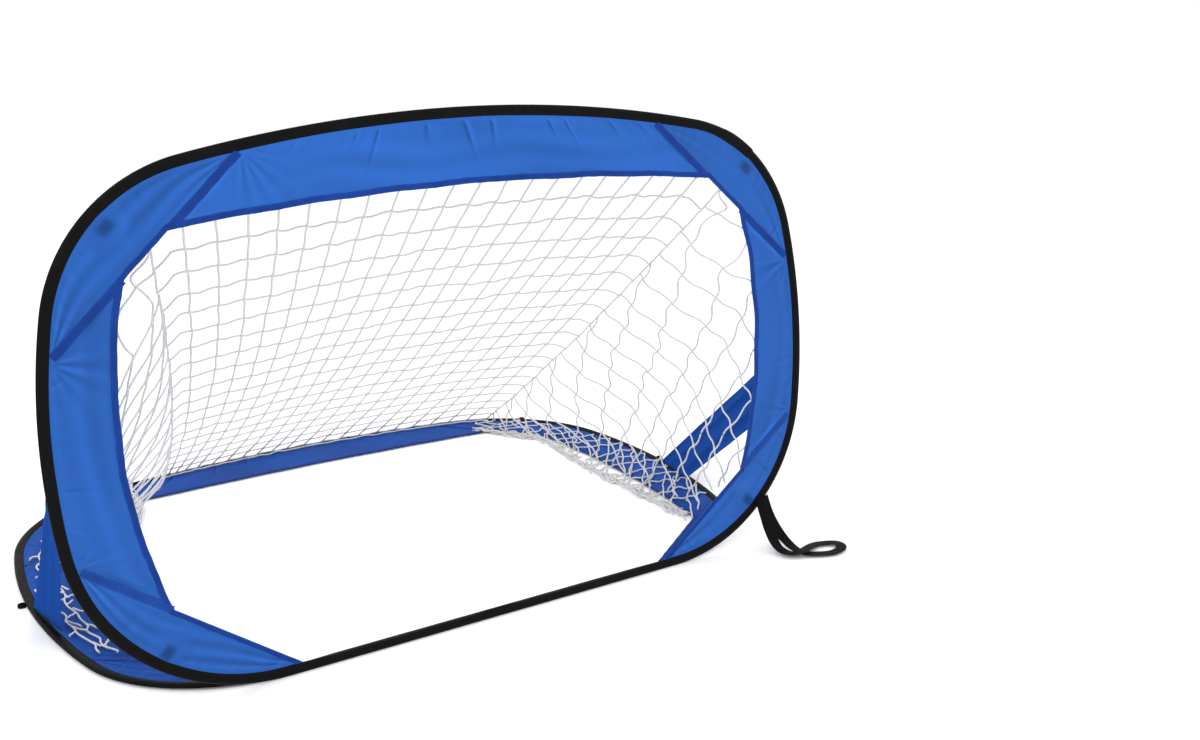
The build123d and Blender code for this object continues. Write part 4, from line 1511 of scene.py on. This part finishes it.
class GOAL_OT_stage(GoalOperator):
    """Make the floor, the soft lights and the camera."""

    bl_idname = "goal.stage"
    bl_label = "Stage"

    def execute(self, context):
        size = 60.0
        span = np.linspace(-size, size, 29)
        gx, gy = np.meshgrid(span, span, indexing="ij")
        points = np.stack([gx, gy, np.full_like(gx, -0.0004)], axis=-1)
        faces, steps = grid_faces(29, 29)
        floor = make_object("studio_floor", points.reshape(-1, 3), faces, grid_uvs(steps, span, span), material("floor"))
        world = bpy.data.worlds.new("Studio")
        world.use_nodes = True
        world.node_tree.nodes["Background"].inputs[0].default_value = (1.0, 1.0, 1.0, 1.0)
        world.node_tree.nodes["Background"].inputs[1].default_value = 1.05
        context.scene.world = world
        for name, place, aim, power, width in (
            ("Key", (-2.2, -3.2, 3.4), (0, 0, 0.2), 70.0, 2.6),
            ("Fill", (3.4, -2.4, 2.6), (0, 0, 0.3), 25.0, 3.0),
            ("Top", (0.0, 1.2, 3.6), (0, 0, 0.0), 25.0, 3.0),
        ):
            light = bpy.data.lights.new(name, "AREA")
            light.energy = power
            light.size = width
            lamp = bpy.data.objects.new(name, light)
            context.scene.collection.objects.link(lamp)
            way = unit(np.array(aim) - np.array(place))
            lamp.matrix_world = aimed(place, way, 0.0)
        camera = bpy.data.cameras.new("Camera")
        camera.sensor_width = 36.0
        camera.lens = 37.74
        eye = bpy.data.objects.new("Camera", camera)
        context.scene.collection.objects.link(eye)
        yaw, pitch, roll = 0.5565, 0.2687, -0.0181
        way = np.array([
            math.sin(yaw) * math.cos(pitch), math.cos(yaw) * math.cos(pitch), -math.sin(pitch)])
        eye.matrix_world = aimed((-0.784, FRONT_LOW[1] - 1.56, 0.863), way, roll)
        context.scene.camera = eye
        context.scene.view_settings.view_transform = "Standard"
        return {"FINISHED"}


def aimed(place, way, roll):
    """Matrix that stands at a place and looks along way, with its right side level but for roll."""
    right = unit(np.cross(way, [0.0, 0.0, 1.0]))
    up = np.cross(right, way)
    turned = math.cos(roll) * right + math.sin(roll) * up
    upright = -math.sin(roll) * right + math.cos(roll) * up
    columns = np.stack([turned, upright, -way], axis=-1)
    matrix = np.eye(4)
    matrix[:3, :3] = columns
    matrix[:3, 3] = place
    return Matrix(matrix.tolist())


class GOAL_PT_panel(bpy.types.Panel):
    """The goal's pieces, in the order in which they are made."""

    bl_idname = "GOAL_PT_panel"
    bl_label = "Pop-up goal"
    bl_space_type = "VIEW_3D"
    bl_region_type = "UI"
    bl_category = "Goal"

    def draw(self, context):
        for group, _kind in GROUPS:
            box = self.layout.box()
            values = getattr(context.scene, group)
            for key in values.__annotations__:
                box.prop(values, key)
        for operator in OPERATORS:
            self.layout.operator(operator.bl_idname)


GROUPS = (
    ("goal_hoops", HoopSizes),
    ("goal_cloths", ClothSizes),
    ("goal_nets", NetSizes),
    ("goal_trims", TrimSizes),
    ("goal_colours", GoalColours),
)
OPERATORS = (
    GOAL_OT_wires, GOAL_OT_sleeves, GOAL_OT_panels, GOAL_OT_tapes, GOAL_OT_net, GOAL_OT_stays,
    GOAL_OT_trims, GOAL_OT_stage,
)


def register():
    for name, group in GROUPS:
        bpy.utils.register_class(group)
        setattr(bpy.types.Scene, name, PointerProperty(type=group))
    for item in (*OPERATORS, GOAL_PT_panel):
        bpy.utils.register_class(item)


def unregister():
    for item in reversed((*OPERATORS, GOAL_PT_panel)):
        bpy.utils.unregister_class(item)
    for name, group in reversed(GROUPS):
        delattr(bpy.types.Scene, name)
        bpy.utils.unregister_class(group)


def main():
    register()
    for operator in OPERATORS:
        group, name = operator.bl_idname.split(".")
        getattr(getattr(bpy.ops, group), name)()


if __name__ == "__main__":
    main()
